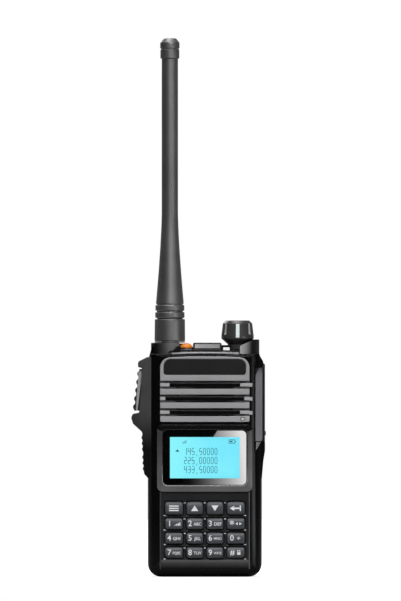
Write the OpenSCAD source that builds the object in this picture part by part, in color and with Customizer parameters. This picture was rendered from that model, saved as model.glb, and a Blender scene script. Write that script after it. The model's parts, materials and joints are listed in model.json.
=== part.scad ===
// Handheld two-way radio with a whip antenna, in millimetres.
// Origin at the middle of the base, front towards -Y, +Z up.

/* [Body] */
// Width of the housing
body_w = 57; // [55:0.5:62]
// Depth of the front housing, from the keypad side to the chassis
housing_d = 18; // [17.5:0.25:21]
// Thickness of the front wall
face_t = 2.6; // [2.4:0.1:2.9]
// Thickness of the side, base and deck walls
wall_t = 2.2; // [1.8:0.1:2.4]
// Radius of the base corners seen from the front
base_r = 7; // [4:0.5:9]
// Radius of the long front edges
edge_r = 6.5; // [5.5:0.25:7]
// Radius of the chin between the front and the base
chin_r = 8.5; // [6:0.5:9.5]
// Thickness of the chassis plate
chassis_t = 3; // [2.6:0.1:4]

/* [Keypad] */
// Height of the lowest keys above the base
chin_h = 9.6; // [9.2:0.2:12]
// Space between the columns of keys
column_gap = 2.1; // [1.8:0.1:2.6]
// Width of the two outer columns of keys
key_w_outer = 8.6; // [7.4:0.1:9]
// Width of the two inner columns of keys
key_w_inner = 8; // [7:0.1:8.6]
// Height of the keys in the three lower rows
key_h = 5.4; // [4.6:0.1:6]
// Height of the keys in the top row
menu_key_h = 6.3; // [5:0.1:7]
// Space between the rows of keys
row_gap = 1.85; // [1.75:0.05:2.6]
// Radius of the key corners
key_r = 1.1; // [0.5:0.1:1.4]
// Radius of the lower outer corners of the keypad
key_r_outer = 2.2; // [1.2:0.1:2.3]
// Height of the keys above the keypad floor
key_proud = 1.4; // [1:0.1:1.8]
// How far a key is pressed in
key_travel = 0.8; // [0.4:0.1:1]
// Width of the sunk floor beside the outer keys
keypad_side = 2; // [1.2:0.1:2.4]
// Depth of the keypad floor below the front
keypad_sink = 0.8; // [0.4:0.1:0.9]
// Depth of the pocket round each key
pocket_sink = 0.9; // [0.4:0.1:0.9]

/* [Display] */
// Distance from the display bezel to the sides of the housing
bezel_side = 4.5; // [4:0.1:5.2]
// Height of the display bezel
bezel_h = 33.7; // [32.4:0.1:36]
// Height of the bezel above the front
bezel_proud = 1.3; // [0.8:0.1:1.8]
// Width of the bezel round the lens
bezel_rim = 3; // [2.4:0.1:3.6]
// Thickness of the lens
lens_t = 1.4; // [1:0.1:1.4]
// Depth of the lens below the rim of the bezel
lens_sink = 0.9; // [0.5:0.1:1]
// Width of the border beside the lit display
border_side = 3.4; // [2.6:0.1:5]
// Width of the border above and below the lit display
border_end = 3.2; // [2.6:0.1:5]

/* [Grille] */
// Distance from the grille panel to the sides of the housing
grille_side = 6.2; // [5.6:0.1:7]
// Height of one grille bar
bar_h = 2.85; // [2.6:0.05:3.4]
// Height of one slot between bars
slot_h = 4; // [3.6:0.1:4.6]
// Height of the grille panel above the front
grille_proud = 0.8; // [0.5:0.1:1.2]
// Distance from the plate in the upper part of the panel to the sides of the panel
badge_side = 1.8; // [1.5:0.1:5]
// Height of the plate in the upper part of the panel
badge_h = 7.9; // [6:0.1:8.2]
// Radius of the loudspeaker
speaker_r = 16; // [13:0.5:16]

/* [Side controls] */
// How far the talk lever turns, in degrees
ptt_turn = 3.5; // [2:0.5:3.5]
// Number of grip ridges on the talk lever
ptt_ridges = 5; // [3:1:5]
// Radius of a grip ridge
ridge_r = 1.7; // [1.4:0.1:1.8]
// Height of a side key
side_key_h = 8.6; // [7:0.1:8.8]
// How far a side key is pressed in
side_key_travel = 0.8; // [0.4:0.1:0.8]
// Distance from the side frame to the chassis
frame_back = 0.5; // [0.3:0.1:1.2]
// Radius of the larger headset socket
ear_jack_r = 1.8; // [1.75:0.01:1.85]
// Radius of the smaller headset socket
mic_jack_r = 1.3; // [1.25:0.01:1.35]

/* [Top] */
// Distance of the antenna from the left side of the housing
antenna_side = 11; // [10.5:0.1:12]
// Distance of the knob from the right side of the housing
knob_side = 12.1; // [11.5:0.1:12.7]
// Height of the antenna tower above the deck
boss_h = 5.5; // [5:0.1:7]
// Radius of the antenna tower
boss_r = 9.45; // [9:0.05:9.8]
// Height of the knob guard above the deck
guard_h = 7.2; // [4:0.1:7.6]
// Widest radius of the knob
knob_r = 8.1; // [7.4:0.05:8.3]
// Radius of the knob at its top edge
knob_top_r = 7.35; // [6.6:0.05:7.4]
// Height of the knob above the top cover
knob_h = 14.4; // [12.6:0.1:17]
// Radius of the alarm button
alarm_r = 3; // [2.6:0.1:3.4]
// How far the alarm button is pressed in
alarm_travel = 0.6; // [0.3:0.1:0.6]
// Thickness of the top cover
cover_t = 1.7; // [1.4:0.1:2]

/* [Antenna] */
// Length of the antenna above its tower
antenna_l = 152.5; // [110:0.5:200]
// Radius of the antenna base
collar_r = 7.65; // [7.2:0.05:8]
// Height of the antenna base
collar_h = 11.1; // [9:0.1:14]
// Radius of the whip
whip_r = 4.08; // [3.4:0.02:4.6]
// Length of the tapered foot of the whip
taper_l = 46; // [30:0.5:60]
// Radius of the cap on the tip
cap_r = 4.85; // [4.7:0.05:5.4]
// Height of the cap on the tip
cap_h = 10.2; // [8:0.1:14]
// Rise of the antenna for one turn of its thread
thread_pitch = 0.7056; // [0.5:0.0001:0.8]

/* [Battery] */
// Depth of the battery
pack_d = 13; // [12:0.5:18]
// Distance from the sides of the battery to the sides of the housing
pack_side = 1.5; // [1:0.1:3.5]
// Height of the battery
pack_h = 86; // [82:0.5:87]
// Thickness of the battery walls
pack_wall = 1.8; // [1.4:0.1:2]

/* [Belt clip] */
// Width of the belt clip
clip_w = 16.6; // [13:0.2:18]
// Length of the belt clip
clip_l = 58.5; // [50:0.5:62]
// Space for the belt
belt_gap = 5.4; // [5:0.1:7]
// Number of turns of the clip spring
spring_turns = 4; // [3:1:4]

/* [Clearances] */
// Between pieces that move past each other
run_gap = 0.3; // [0.25:0.05:0.35]
// Round a turning shaft
shaft_gap = 0.05; // [0.03:0.01:0.08]
// Round a piece that is set into another
seat_gap = 0.1; // [0.05:0.05:0.15]

/* [Hidden] */
$fn = 64;
KEY_NAMES = [
  "key_menu", "key_up", "key_down", "key_exit",
  "key_1", "key_2", "key_3", "key_star",
  "key_4", "key_5", "key_6", "key_0",
  "key_7", "key_8", "key_9", "key_hash"
];

// Colours
black = [0.03, 0.03, 0.035];
dark = [0.12, 0.12, 0.13];
mid_grey = [0.33, 0.33, 0.35];
light_grey = [0.55, 0.55, 0.57];
steel = [0.72, 0.72, 0.74];
brass = [0.8, 0.65, 0.3];
green = [0.05, 0.3, 0.16];
orange = [0.9, 0.35, 0.05];
cyan = [0.4, 0.9, 0.98];
white = [0.9, 0.9, 0.9];

// Depths, from the front to the back
side_x = body_w / 2;
body_d = housing_d + chassis_t + pack_d;
pack_w = body_w - 2 * pack_side;
y_front = -body_d / 2;
y_inner = y_front + face_t;
y_part = y_front + housing_d;
y_back = y_part + chassis_t;
y_rear = y_back + pack_d;

// Keypad
columns = 4;
rows = 4;
key_pocket = 0.72;
key_flange = 0.6;
key_flange_t = 1;
keypad_margin = 4.65;
y_keypad = y_front + keypad_sink;
y_pocket = y_keypad + pocket_sink;
y_key = y_keypad - key_proud;
y_flange = y_inner + run_gap;
y_mat = y_flange + key_flange_t + key_travel + run_gap / 2;
function row_h(row) = row == 0 ? menu_key_h : key_h;
function row_z(row) = row == rows - 1 ? chin_h + key_h / 2
  : row_z(row + 1) + row_h(row + 1) / 2 + row_gap + row_h(row) / 2;
function column_x(column) =
  let (
    inner = (column_gap + key_w_inner) / 2,
    outer = 1.5 * column_gap + key_w_inner + key_w_outer / 2,
    side = column < columns / 2 ? -1 : 1
  )
  side * (column == 0 || column == columns - 1 ? outer : inner);
function column_w(column) = column == 0 || column == columns - 1 ? key_w_outer : key_w_inner;
keypad_w = 2 * (column_x(columns - 1) + key_w_outer / 2 + key_pocket + keypad_side);
keypad_top = row_z(0) + row_h(0) / 2 + keypad_margin;
keypad_foot = 3;

// Display
bezel_z0 = keypad_top + run_gap;
bezel_z1 = bezel_z0 + bezel_h;
bezel_w = body_w - 2 * bezel_side;
lens_w = bezel_w - 2 * bezel_rim;
lens_h = bezel_h - 2 * bezel_rim - seat_gap;
view_w = lens_w - 2 * border_side;
view_h = lens_h - 2 * border_end;
bezel_r = 3;
lens_r = 2.5;
lens_z = (bezel_z0 + bezel_z1) / 2 + 0.3;
sleeve_t = 0.7;
mask_t = 0.6;
y_bezel = y_front - bezel_proud;
y_lens = y_bezel + lens_sink;
y_mask = y_lens + lens_t;
y_display = y_mask + mask_t;
display_margin = 2.4;

// Grille
slots = 3;
grille_gap = 1.3;
grille_w = body_w - 2 * grille_side;
badge_w = grille_w - 2 * badge_side;
grille_z0 = bezel_z1 + grille_gap;
bar_pitch = bar_h + slot_h;
badge_low = 3;
badge_top = 1.25;
head_z = grille_z0 + slots * bar_pitch;
grille_z1 = head_z + badge_low + badge_h + badge_top;
grille_sink = 0.8;
grille_corner = 5;
y_grille = y_front - grille_proud;
y_grille_seat = y_front + grille_sink;
rib_h = 1.75;
rib_proud = 0.7;
tab_proud = 1;
tab_long = 4.7;
tab_short = 2.6;
stringer_w = 2.2;
stringer_t = 0.5;
sound_h = 0.9;
badge_t = 0.8;
badge_sink = 0.7;
mic_edge = 3.55;
mic_x = grille_w / 2 - mic_edge;
mic_r = 2.2;
mic_hole_r = 1;
mic_tip_r = 0.7;
mic_z = grille_z0 + bar_h / 2;
speaker_d = 5.4;
rim_t = 1.4;
rim_c = 0.6;

// Deck
deck_z = grille_z1 + 1.25;
deck_in = 1.5;
speaker_z = (lens_z + view_h / 2 + display_margin + deck_z - wall_t) / 2;
root = 0.5;
shoulder_z = deck_z - 6;
shoulder_r = 5;
top_r = 1.5;
boss_flat = 4.9;
control_y = y_front + 11.5;
antenna_x = side_x - antenna_side;
knob_x = side_x - knob_side;
boss_cut = antenna_x - boss_flat;
boss_top = deck_z + boss_h;
cover_top = deck_z + cover_t;
guard_r = knob_r + run_gap + 2.5;
guard_t = 2;
guard_x = knob_x + 1.1;
guard_tilt = 25;
cover_half = boss_cut + 3.4;
cover_y0 = y_front + 2.8;
cover_y1 = y_part - 0.5;
pot_w = 7.5;
pot_d = 8;
pot_h = 8;
bush_r = 3.4;
shaft_r = 2.25;
neck_r = 4.9;
neck_h = 2.5;
knob_gap = 0.6;
knob_z0 = cover_top + knob_gap;
knob_z1 = knob_z0 + knob_h;
knob_bevel = 1.5;
knob_wide_z = knob_z0 + neck_h + 3.4;
flutes = 7;
flute_r = 0.95;
button_gap = run_gap + 0.05;
alarm_x = boss_cut - alarm_r - button_gap;
alarm_y = control_y - 4.5;
alarm_ring_h = 0.7;
alarm_rim = 0.35;
alarm_head_z = cover_top + alarm_ring_h + alarm_travel + 0.15;
alarm_stem_r = 1.8;
block_x0 = -alarm_x + alarm_r + button_gap;
led_x = knob_x - 5.5;
led_w = 3.6;
led_gap = 0.7;
block_x1 = led_x - led_w / 2 - led_gap;
block_h = 3.9;
block_y0 = y_front + 4.4;
block_d = 7;
led_h = 2.1;
led_y0 = y_front + 4.6;
led_d = 3;

// Antenna
seal_t = 0.6;
socket_r = 3.1;
socket_gap = 0.5;
plug_r = 4;
plug_hole = 0.3;
collar_z0 = boss_top + seal_t + 2 * seat_gap;
collar_z1 = collar_z0 + collar_h;
ring_h = 3;
ring_gap = 0.55;
ring_r = collar_r - 0.3;
groove_r = collar_r - 1.15;
foot_z = collar_z1 + 2 * ring_h + 3 * ring_gap;
foot_r = collar_r - 0.65;
antenna_z1 = boss_top + antenna_l;
cap_z = antenna_z1 - cap_h;
core_r = 1.2;
thread_turns = 6;
thread_l = thread_turns * thread_pitch;
socket_top = boss_top - socket_gap;
plug_z0 = socket_top - thread_l;
plug_in = 6;
centre_r = 0.6;
centre_hole_r = 0.75;
centre_l = 4;

// Left side, measured out from the side and down from the deck
frame_y0 = y_front + 2.4;
frame_y1 = y_part - frame_back;
frame_d = frame_y1 - frame_y0;
frame_in = side_x - wall_t;
frame_top = 1.6;
frame_foot = 62.3;
lever_y0 = frame_y0 + 4.1;
lever_d = frame_d - 5.1;
lever_mid = lever_y0 + lever_d / 2;
pin_out = 2.1;
pin_down = 5.4;
pin_r = 0.8;
pin_l = 8;
tongue_r = 1.5;
tongue_d = 4;
tongue_w = 0.9;
tongue_toe = 0.1;
lever_top = 7.6;
lever_foot = 28.4;
tongue_foot = lever_top + 1;
lever_sink = 0.5;
pocket_room = 0.2;
ridge_out_top = 5;
ridge_out_foot = 7.65;
ridge_h = 0.75;
lever_swing = (lever_foot - pin_down) * sin(ptt_turn);
pocket_deep = lever_sink + lever_swing + run_gap + pocket_room;
pocket_end = 0.7;
pocket_top = lever_top - pocket_end;
pocket_foot = lever_foot + pocket_end;
plunger_down = 19.5;
plunger_r = 1.2;
dome_h = 0.5;
plunger_swing = (plunger_down - pin_down) * sin(ptt_turn);
plunger_tip = wall_t - dome_h - run_gap - plunger_swing;
switch_t = 1;
switch_top = 13;
switch_foot = frame_foot - 1.3;
key_y0 = lever_y0 + 1;
side_key_d = frame_d - 7.1;
upper_key_down = 40.5;
side_key_gap = 1.2;
lower_key_down = upper_key_down + side_key_h + side_key_gap;
side_key_proud = 0.15;
side_flange = 0.8;
side_flange_t = 1;
side_wall_in = 0.4;
side_dome_r = 1.6;
side_dome_h = wall_t + side_wall_in - side_flange_t - side_key_travel - 2 * run_gap;

// Right side
flap_in = 0.7;
flap_out = 1.6;
flap_t = flap_in + flap_out;
flap_y1 = y_part - 0.8;
flap_y0 = y_front + 5.4;
flap_axis_x = side_x - flap_in + flap_t / 2;
flap_axis_z = deck_z - 5.7;
flap_l = 38;
flap_z0 = flap_axis_z - flap_l;
wing_t = 1.2;
wing_w = 3.2;
jack_z = flap_axis_z - 21;
jack_span = 11;
jack_l = 12.5;
jack_floor = 1;

// Inside
board_t = 1.6;
y_board = y_inner + speaker_d + 0.4;
board_back = y_board + board_t;
jack_back = 1.2;
jack_d = y_part - jack_back - board_back;
jack_shift = 0.3;
jack_y = board_back + jack_d / 2 + jack_shift;
jack_h = 22;
post_r = 2.6;
post_x = side_x - wall_t - 3;
post_z = [chin_h - key_flange - run_gap - post_r, bezel_z0 + 1.9];
screw_r = 1.2;
screw_l = 8;
screw_head_r = 2.2;
screw_head_t = 1.2;
head_sink = 1.6;
screw_slot = 0.6;
slot_deep = 0.5;
boss_x = 17;
boss_z = [22, 62];

// Back
block_t = 9.5;
block_w = pack_w - 4;
hinge_y = y_back + 2.2;
hinge_z = pack_h + 1.6;
hinge_r = 1.3;
hinge_x = 14;
hinge_l = 8;
pack_gap = 0.2;
plate_t = 1.6;
pack_foot = 5;
y_pack = y_back + pack_gap;
y_plate = y_pack + plate_t;
hook_w = 12;
hook_l = 6;
hook_t = 1.2;
hook_z = 0.3;
hook_tooth = 1.3;
contact_r = 1.2;
contact_z = 30;
contact_pitch = 8;
pad_r = 3;
pad_t = 0.6;
pad_x = 11;
pad_z = 9;

// Clip
bracket_t = 2;
bracket_w = 22;
bracket_down = 14.5;
bracket_up = 5;
clip_screw_x = 6;
clip_screw_down = 10.5;
clip_pin_r = 1.2;
clip_z = pack_h - 9.5;
hub_r = 2.9;
clip_y = y_rear + bracket_t + hub_r + 0.5;
clip_t = 2.5;
clip_inner = y_rear + belt_gap;
ear_t = 2;
ear_x = clip_w / 2 + run_gap;
pad_l = 9;
spring_r = 2.1;
wire_r = 0.35;
spring_pitch = 1.3;
spring_steps = 24;
wire_sides = 8;
spring_slot = spring_turns * spring_pitch + 3;
spring_leg = 5;

// Outlines with rounded corners; each corner is [x, y, radius]
function unit(v) = v / norm(v);
function spot(p) = [p[0], p[1]];
function corner_arc(a, b, c, r) = r <= 0 ? [b] :
  let (
    u = unit(a - b),
    v = unit(c - b),
    half = acos(u * v) / 2,
    start = b + u * (r / tan(half)),
    end = b + v * (r / tan(half)),
    mid = b + unit(u + v) * (r / sin(half)),
    from = atan2(start[1] - mid[1], start[0] - mid[0]),
    turn = atan2(end[1] - mid[1], end[0] - mid[0]) - from,
    sweep = turn > 180 ? turn - 360 : turn < -180 ? turn + 360 : turn,
    steps = max(2, ceil(abs(sweep) / 12))
  )
  [for (k = [0 : steps]) mid + r * [cos(from + sweep * k / steps), sin(from + sweep * k / steps)]];
function rounded(corners) = [
  for (i = [0 : len(corners) - 1])
    let (n = len(corners))
      each corner_arc(spot(corners[(i + n - 1) % n]), spot(corners[i]),
        spot(corners[(i + 1) % n]), corners[i][2])
];
function plate_points(x0, x1, z0, z1, r) =
  rounded([[x0, z0, r], [x1, z0, r], [x1, z1, r], [x0, z1, r]]);

// An outline in x and z, pushed back from y by d
module upright(y, d) {
  translate([0, y + d, 0]) rotate([90, 0, 0]) linear_extrude(d) children();
}
// An outline in y and z, pushed to the right from x by d
module sideways(x, d) {
  translate([x, 0, 0]) rotate([90, 0, 90]) linear_extrude(d) children();
}
// An outline in x and y, pushed up from z by d
module level(z, d) {
  translate([0, 0, z]) linear_extrude(d) children();
}
// A round bar along x
module bar_x(x, d, r) {
  translate([x, 0, 0]) rotate([0, 90, 0]) cylinder(h = d, r = r);
}
// A round bar along y
module bar_y(y, d, r) {
  translate([0, y, 0]) rotate([-90, 0, 0]) cylinder(h = d, r = r);
}

// Form of the housing, drawn in from the sides and from the front
module housing_form(inset, front_inset, y_end) {
  half = side_x - inset;
  y0 = y_front + front_inset;
  top = deck_z - inset;
  intersection() {
    upright(y0, y_end - y0)
      polygon(rounded([
        [-half, inset, base_r - inset / 2], [half, inset, base_r - inset / 2],
        [half, shoulder_z, shoulder_r], [half - deck_in, top, 0],
        [-half + deck_in, top, 0], [-half, shoulder_z, shoulder_r]
      ]));
    level(0, deck_z)
      polygon(rounded([[-half, y0, edge_r - inset], [half, y0, edge_r - inset], [half, y_end, 0],
        [-half, y_end, 0]]));
    sideways(-side_x, body_w)
      polygon(rounded([[y0, inset, chin_r - inset], [y_end, inset, 0], [y_end, top, 0],
        [y0, top, top_r]]));
  }
}

// Bulge on the right side, round the socket flap: out from the side, down from the deck, corner radius
fairing_outline = [
  [-wall_t, 62.5, 0], [0, 62.5, 0], [0.8, 53.5, 3], [flap_out + 0.1, 48, 3],
  [flap_out + 0.1, 7, 2], [0.6, 3.6, 2], [-deck_in, 0, 0], [-wall_t, 0, 0]
];
module side_fairing() {
  intersection() {
    upright(y_front, y_part - y_front)
      polygon(rounded([for (c = fairing_outline) [side_x + c[0], deck_z - c[1], c[2]]]));
    level(0, deck_z)
      polygon([
        [side_x - wall_t, y_part], [side_x - wall_t, y_front + 3], [side_x - 1.3, y_front + 3],
        [side_x + flap_out, y_front + 5.9], [side_x + flap_out + 0.2, y_part]
      ]);
  }
}

// Space for the socket flap in the side of the housing, or the flap itself when grow is 0
function wing_line(off) = side_x - y_front - edge_r * 0.6 - 0.5 - off * sqrt(2);
module flap_form(grow) {
  x0 = side_x - flap_in - grow;
  x1 = side_x + flap_out + grow * 20;
  // flat part on the side
  translate([x0, flap_y0 - grow, flap_z0 - grow])
    cube([x1 - x0, flap_y1 - flap_y0 + 2 * grow, flap_l + grow]);
  // round upper end
  translate([flap_axis_x, 0, flap_axis_z])
    bar_y(flap_y0 - grow, flap_y1 - flap_y0 + 2 * grow, flap_t / 2 + grow);
  if (grow > 0)
    translate([flap_axis_x, flap_y0 - grow, flap_axis_z])
      cube([x1 - flap_axis_x, flap_y1 - flap_y0 + 2 * grow, flap_t / 2 + grow]);
}
module flap_wing(grow) {
  outer = wing_line(0) + (grow > 0 ? 20 : 0);
  inner = wing_line(wing_t + grow);
  x0 = side_x - wing_w - grow;
  level(flap_z0 - grow, flap_l - flap_t / 2 + 2 * grow)
    polygon([
      [x0, x0 - inner], [x0, x0 - outer], [flap_y0 + outer - 0.01, flap_y0 - 0.01],
      [flap_y0 + outer, flap_y0 + 0.3], [side_x - flap_in - grow, flap_y0 + 0.3],
      [side_x - flap_in - grow, side_x - flap_in - grow - inner]
    ]);
}

// Tower under the antenna
module boss_form(grow) {
  intersection() {
    translate([-antenna_x, control_y, deck_z]) cylinder(h = boss_h, r = boss_r + grow);
    translate([-2 * side_x, y_front - side_x, deck_z])
      cube([2 * side_x - boss_cut + grow, body_w, boss_h]);
  }
}

// Wall round the right of the knob, with a sloping top
module knob_guard() {
  slope_x = knob_x + knob_r - 0.3;
  difference() {
    intersection() {
      translate([knob_x, control_y, deck_z - root]) cylinder(h = guard_h + root, r = guard_r);
      translate([guard_x, y_front - 1, deck_z - root])
        cube([side_x, y_part + 1 - y_front, guard_h + root]);
    }
    translate([knob_x, control_y, deck_z]) cylinder(h = guard_h + 1, r = guard_r - guard_t);
    translate([slope_x, y_front - 2, deck_z + guard_h]) rotate([0, -guard_tilt, 0])
      translate([-side_x, 0, 0]) cube([side_x, body_d, guard_h]);
  }
}

function key_corners(column, row, grow) =
  let (
    w = column_w(column) / 2 + grow,
    h = row_h(row) / 2 + grow,
    low = row == rows - 1,
    left = low && column == 0 ? key_r_outer : key_r,
    right = low && column == columns - 1 ? key_r_outer : key_r,
    x = column_x(column),
    z = row_z(row)
  )
  rounded([[x - w, z - h, left + grow], [x + w, z - h, right + grow], [x + w, z + h, key_r + grow],
    [x - w, z + h, key_r + grow]]);

function slot_z(slot) = grille_z0 + bar_h + slot * bar_pitch;
function tab_l(slot) = slot == 1 ? tab_short : tab_long;
function grille_points(grow) = rounded([
  [-grille_w / 2 - grow, grille_z0 - grow, 0.8], [grille_w / 2 + grow, grille_z0 - grow, 0.8],
  [grille_w / 2 + grow, grille_z1 - 0.7 + grow, grille_corner], [grille_w / 6, grille_z1 + grow, 6],
  [-grille_w / 6, grille_z1 + grow, 6], [-grille_w / 2 - grow, grille_z1 - 0.7 + grow, grille_corner]
]);

module posts() {
  for (side = [-1, 1])
    for (z = post_z)
      translate([side * post_x, 0, z]) children();
}

module front_housing() {
  color(black)
  difference() {
    union() {
      difference() {
        union() {
          housing_form(0, 0, y_part);
          side_fairing();
        }
        // inside, kept solid behind the wing of the socket flap
        difference() {
          housing_form(wall_t, face_t, y_part + wall_t);
          translate([side_x - wall_t - 3.4, y_front, flap_z0 - wall_t])
            cube([wall_t + 4, 8.2, flap_l + 2 * wall_t]);
        }
        // seat of the grille panel and its sound slots
        upright(y_front - 1, y_grille_seat - y_front + 1) polygon(grille_points(seat_gap));
      }
      boss_form(0);
      translate([-antenna_x, control_y, deck_z - root]) cylinder(h = 2 * root, r = boss_flat - run_gap);
      knob_guard();
      intersection() {
        posts() bar_y(y_inner - 0.5, y_part - y_inner + 0.5, post_r);
        housing_form(wall_t / 2, face_t / 2, y_part);
      }
      for (slot = [0 : slots - 1])
        translate([-grille_w / 2 + tab_l(slot) + seat_gap, y_grille_seat - rib_proud,
          slot_z(slot) + (slot_h - rib_h) / 2])
          cube([grille_w - 2 * tab_l(slot) - 2 * seat_gap, rib_proud + 0.5, rib_h]);
    }
    for (slot = [0 : slots - 1])
      for (z = [slot_z(slot) + 0.15, slot_z(slot) + slot_h - 0.15 - sound_h])
        translate([-speaker_r * 0.9, y_front - 1, z]) cube([speaker_r * 1.8, face_t + 2, sound_h]);
    translate([mic_x, 0, mic_z]) bar_y(y_front - 2, face_t + 3, mic_tip_r + seat_gap);
    // sunk keypad floor, key pockets and key openings
    translate([-keypad_w / 2, y_front - 1, keypad_foot])
      cube([keypad_w, keypad_sink + 1, keypad_top - keypad_foot]);
    for (row = [0 : rows - 1])
      for (column = [0 : columns - 1]) {
        upright(y_front - 1, y_pocket - y_front + 1) polygon(key_corners(column, row, key_pocket));
        upright(y_front - 1, face_t + 2) polygon(key_corners(column, row, run_gap));
      }
    // display opening
    upright(y_front - 1, face_t + 2)
      polygon(plate_points(
        -lens_w / 2 - sleeve_t - seat_gap, lens_w / 2 + sleeve_t + seat_gap,
        lens_z - lens_h / 2 - sleeve_t - seat_gap, lens_z + lens_h / 2 + sleeve_t + seat_gap, lens_r
      ));
    // deck openings
    translate([-antenna_x, control_y, deck_z - wall_t - 1])
      cylinder(h = wall_t + 3, r = socket_r + seat_gap);
    translate([-antenna_x, control_y, plug_z0 - run_gap])
      cylinder(h = thread_l + boss_h, r = plug_r + plug_hole);
    translate([knob_x, control_y, deck_z - wall_t - 1]) cylinder(h = wall_t + 2, r = bush_r + seat_gap);
    translate([-alarm_x, alarm_y, deck_z - wall_t - 1])
      cylinder(h = wall_t + 2, r = alarm_stem_r + run_gap);
    // seat of the side frame
    translate([-2 * side_x, frame_y0 - seat_gap, deck_z - frame_foot - seat_gap])
      cube([2 * side_x - frame_in + 1, frame_d + 2 * seat_gap, frame_foot - frame_top + 2 * seat_gap]);
    // seat of the socket flap and the opening for the sockets
    flap_form(run_gap);
    flap_wing(run_gap);
    translate([side_x - wall_t - 1, board_back - seat_gap, jack_z - jack_h / 2 - seat_gap])
      cube([wall_t + 2, jack_d + 2 * seat_gap, jack_h + 2 * seat_gap]);
    // screw holes in the posts
    posts() bar_y(y_inner + 2, housing_d, screw_r + shaft_gap);
  }
}

module grille_panel() {
  color(mid_grey)
  difference() {
    union() {
      intersection() {
        upright(y_grille, y_grille_seat - y_grille) polygon(grille_points(0));
        union() {
          for (bar = [0 : slots - 1])
            translate([-grille_w, y_grille - 1, grille_z0 + bar * bar_pitch])
              cube([2 * grille_w, 4, bar_h]);
          translate([-grille_w, y_grille - 1, head_z]) cube([2 * grille_w, 4, grille_z1 - head_z + 1]);
        }
      }
      for (side = [-1, 1]) {
        translate([side * (grille_w / 2 - stringer_w / 2) - stringer_w / 2, y_grille_seat - stringer_t,
          mic_z])
          cube([stringer_w, stringer_t, head_z - mic_z + 1]);
        for (slot = [0 : slots - 1])
          translate([side * (grille_w / 2 - tab_l(slot) / 2) - tab_l(slot) / 2,
            y_grille_seat - tab_proud, slot_z(slot) + (slot_h - rib_h) / 2])
            cube([tab_l(slot), tab_proud, rib_h]);
      }
    }
    upright(y_grille - 1, badge_sink + 1) polygon(badge_points(seat_gap));
    translate([mic_x, 0, mic_z]) bar_y(y_grille - 1, 4, mic_hole_r);
  }
}

function badge_points(grow) =
  let (w = badge_w / 2 + grow, z0 = head_z + badge_low - grow, z1 = z0 + badge_h + 2 * grow)
  rounded([[-w, z0, 1.5], [w, z0, 1.5], [w, z1, 3.6], [-w, z1, 3.6]]);

module badge_plate() {
  color(dark) upright(y_grille + badge_sink - badge_t, badge_t) polygon(badge_points(0));
}

module lcd_bezel() {
  color(dark)
  difference() {
    union() {
      upright(y_bezel, bezel_proud)
        polygon(plate_points(-bezel_w / 2, bezel_w / 2, bezel_z0, bezel_z1, bezel_r));
      upright(y_front - 0.2, y_display - y_front + 0.2)
        polygon(plate_points(
          -lens_w / 2 - sleeve_t, lens_w / 2 + sleeve_t,
          lens_z - lens_h / 2 - sleeve_t, lens_z + lens_h / 2 + sleeve_t, lens_r
        ));
    }
    upright(y_bezel - 1, y_mask - y_bezel + 1)
      polygon(plate_points(
        -lens_w / 2 - seat_gap, lens_w / 2 + seat_gap,
        lens_z - lens_h / 2 - seat_gap, lens_z + lens_h / 2 + seat_gap, lens_r
      ));
    upright(y_bezel, y_display - y_bezel + 1)
      polygon(plate_points(-view_w / 2, view_w / 2, lens_z - view_h / 2, lens_z + view_h / 2, 0.5));
  }
}

module lcd_lens() {
  color([0.7, 0.85, 0.9, 0.35])
    upright(y_lens, lens_t)
      polygon(plate_points(-lens_w / 2, lens_w / 2, lens_z - lens_h / 2, lens_z + lens_h / 2, lens_r));
}

module lcd_module() {
  color(cyan)
    translate([-view_w / 2 - display_margin, y_display, lens_z - view_h / 2 - display_margin])
      cube([view_w + 2 * display_margin, y_board - y_display, view_h + 2 * display_margin]);
}

module keypad_mat() {
  half = column_x(columns - 1) + key_w_outer / 2 + key_flange;
  z0 = row_z(rows - 1) - key_h / 2 - key_flange;
  z1 = row_z(0) + menu_key_h / 2 + key_flange;
  color(mid_grey) translate([-half, y_mat, z0]) cube([2 * half, y_board - y_mat, z1 - z0]);
}

// One key, with the flange that keeps it behind the front wall
module key(column, row) {
  color(dark)
  union() {
    upright(y_key, y_flange - y_key + key_flange_t / 2) polygon(key_corners(column, row, 0));
    upright(y_flange, key_flange_t) polygon(key_corners(column, row, key_flange));
  }
}

module main_board() {
  half = side_x - wall_t - 1.3;
  z0 = wall_t + 2.8;
  color(green)
  difference() {
    translate([-half, y_board, z0]) cube([2 * half, board_t, deck_z - wall_t - pot_h - 0.3 - z0]);
    posts() bar_y(y_board - 1, board_t + 2, post_r + run_gap);
  }
}

module speaker() {
  color(dark)
  translate([0, 0, speaker_z])
  difference() {
    union() {
      translate([0, y_inner, 0]) rotate([-90, 0, 0])
        cylinder(h = rim_c, r1 = speaker_r - rim_c, r2 = speaker_r);
      bar_y(y_inner + rim_c, rim_t - rim_c, speaker_r);
      bar_y(y_inner, 3.2, speaker_r - 2.5);
      bar_y(y_inner, speaker_d, speaker_r * 0.55);
    }
    translate([0, y_inner - 0.01, 0]) rotate([-90, 0, 0]) cylinder(h = 2.2, r1 = speaker_r - 3, r2 = 4);
  }
}

module microphone() {
  color(steel)
  translate([mic_x, 0, mic_z])
  union() {
    bar_y(y_inner, 2.8, mic_r);
    bar_y(y_grille_seat - 0.8, y_inner - y_grille_seat + 1, mic_tip_r);
  }
}

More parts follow.
